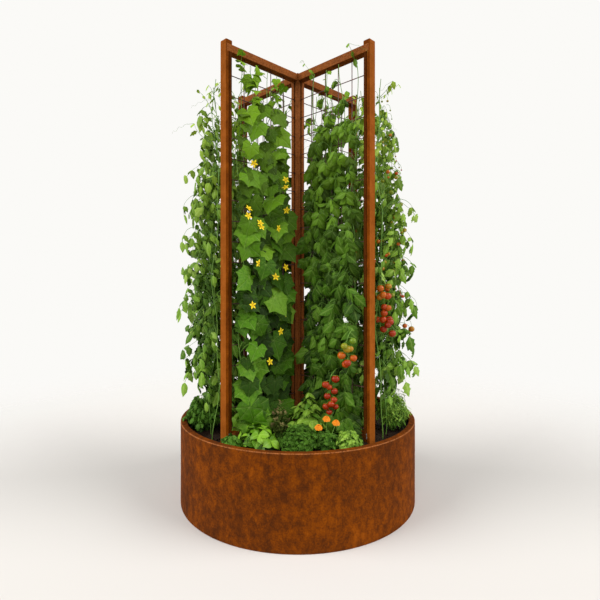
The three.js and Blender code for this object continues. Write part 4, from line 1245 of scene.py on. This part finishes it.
# Stage, light and camera. The floor fades out into the pale surround.
stageLook = {"floor": 6.0, "fade": (1.2, 4.2), "hue": "#d8d4cf", "surround": "#fbfaf7",
             "ambient": 0.36}
lampLook = {"left": {"toward": (1.0, 0.3, -0.7), "strength": 2.7, "angle": 0.8},
            "right": {"toward": (-1.0, 0.3, -0.7), "strength": 2.6, "angle": 0.8},
            "front": {"toward": (0.12, 1.0, -0.7), "strength": 0.55, "angle": 0.6}}
cameraLook = {"away": 2.489, "height": 1.092, "lens": 28.3, "shift": (0.0037, -0.0293)}


def stageFloor():
    points = stageLook["floor"] * np.array([[-1, -1, 0], [1, -1, 0], [1, 1, 0], [-1, 1, 0]])
    finish = Finish("paleFloor", Roughness=0.95, Specular_IOR_Level=0.1,
                    Base_Color=tone(stageLook["hue"]))
    reach = finish.node("ShaderNodeVectorMath", {"operation": "LENGTH"},
                        {0: finish.place()}, out=1)
    mixed = finish.node("ShaderNodeMixShader", sockets={
        0: reach.between(*stageLook["fade"]), 1: Signal(finish, finish.shader.outputs[0]),
        2: finish.node("ShaderNodeBsdfTransparent")})
    finish.tree.links.new(mixed.socket, finish.tree.nodes["Material Output"].inputs["Surface"])
    piece("paleFloor", [part(points, [np.array([[0, 1, 2, 3]])])], [finish.material])


def surround():
    world = bpy.data.worlds.new("surround")
    bpy.context.scene.world = world
    world.use_nodes = True
    tree = world.node_tree
    tree.nodes.clear()
    seen, lit = (tree.nodes.new("ShaderNodeBackground") for _ in range(2))
    seen.inputs[0].default_value, seen.inputs[1].default_value = tone(stageLook["surround"]), 1.0
    lit.inputs[0].default_value, lit.inputs[1].default_value = (1, 1, 1, 1), stageLook["ambient"]
    path, pick = tree.nodes.new("ShaderNodeLightPath"), tree.nodes.new("ShaderNodeMixShader")
    ray = path.outputs["Is Camera Ray"]
    for name in ("Is Glossy Ray", "Is Transmission Ray"):
        most = tree.nodes.new("ShaderNodeMath")
        most.operation = "MAXIMUM"
        tree.links.new(ray, most.inputs[0])
        tree.links.new(path.outputs[name], most.inputs[1])
        ray = most.outputs[0]
    out = tree.nodes.new("ShaderNodeOutputWorld").inputs["Surface"]
    for source, socket in ((ray, pick.inputs[0]), (lit.outputs[0], pick.inputs[1]),
                           (seen.outputs[0], pick.inputs[2]), (pick.outputs[0], out)):
        tree.links.new(source, socket)


def lamps():
    for name, look in lampLook.items():
        lamp = bpy.data.lights.new(name + "Lamp", "SUN")
        lamp.energy, lamp.angle = look["strength"], look["angle"]
        made = shown(name + "Lamp", lamp)
        made.rotation_euler = Vector(look["toward"]).to_track_quat("-Z", "Y").to_euler()


def lookingOn():
    data = bpy.data.cameras.new("viewer")
    data.lens, data.sensor_width = cameraLook["lens"], 36.0
    data.shift_x, data.shift_y = cameraLook["shift"]
    made = shown("viewer", data)
    made.location = (0, -cameraLook["away"], cameraLook["height"])
    made.rotation_euler = (math.pi / 2, 0, 0)
    bpy.context.scene.camera = made


stageFloor()
surround()
lamps()
lookingOn()
bpy.context.scene.view_settings.view_transform = "Standard"

triangles = sum(len(each.vertices) - 2 for made in bpy.data.objects if made.type == "MESH"
                for each in made.data.polygons)
print("triangles in all:", triangles)
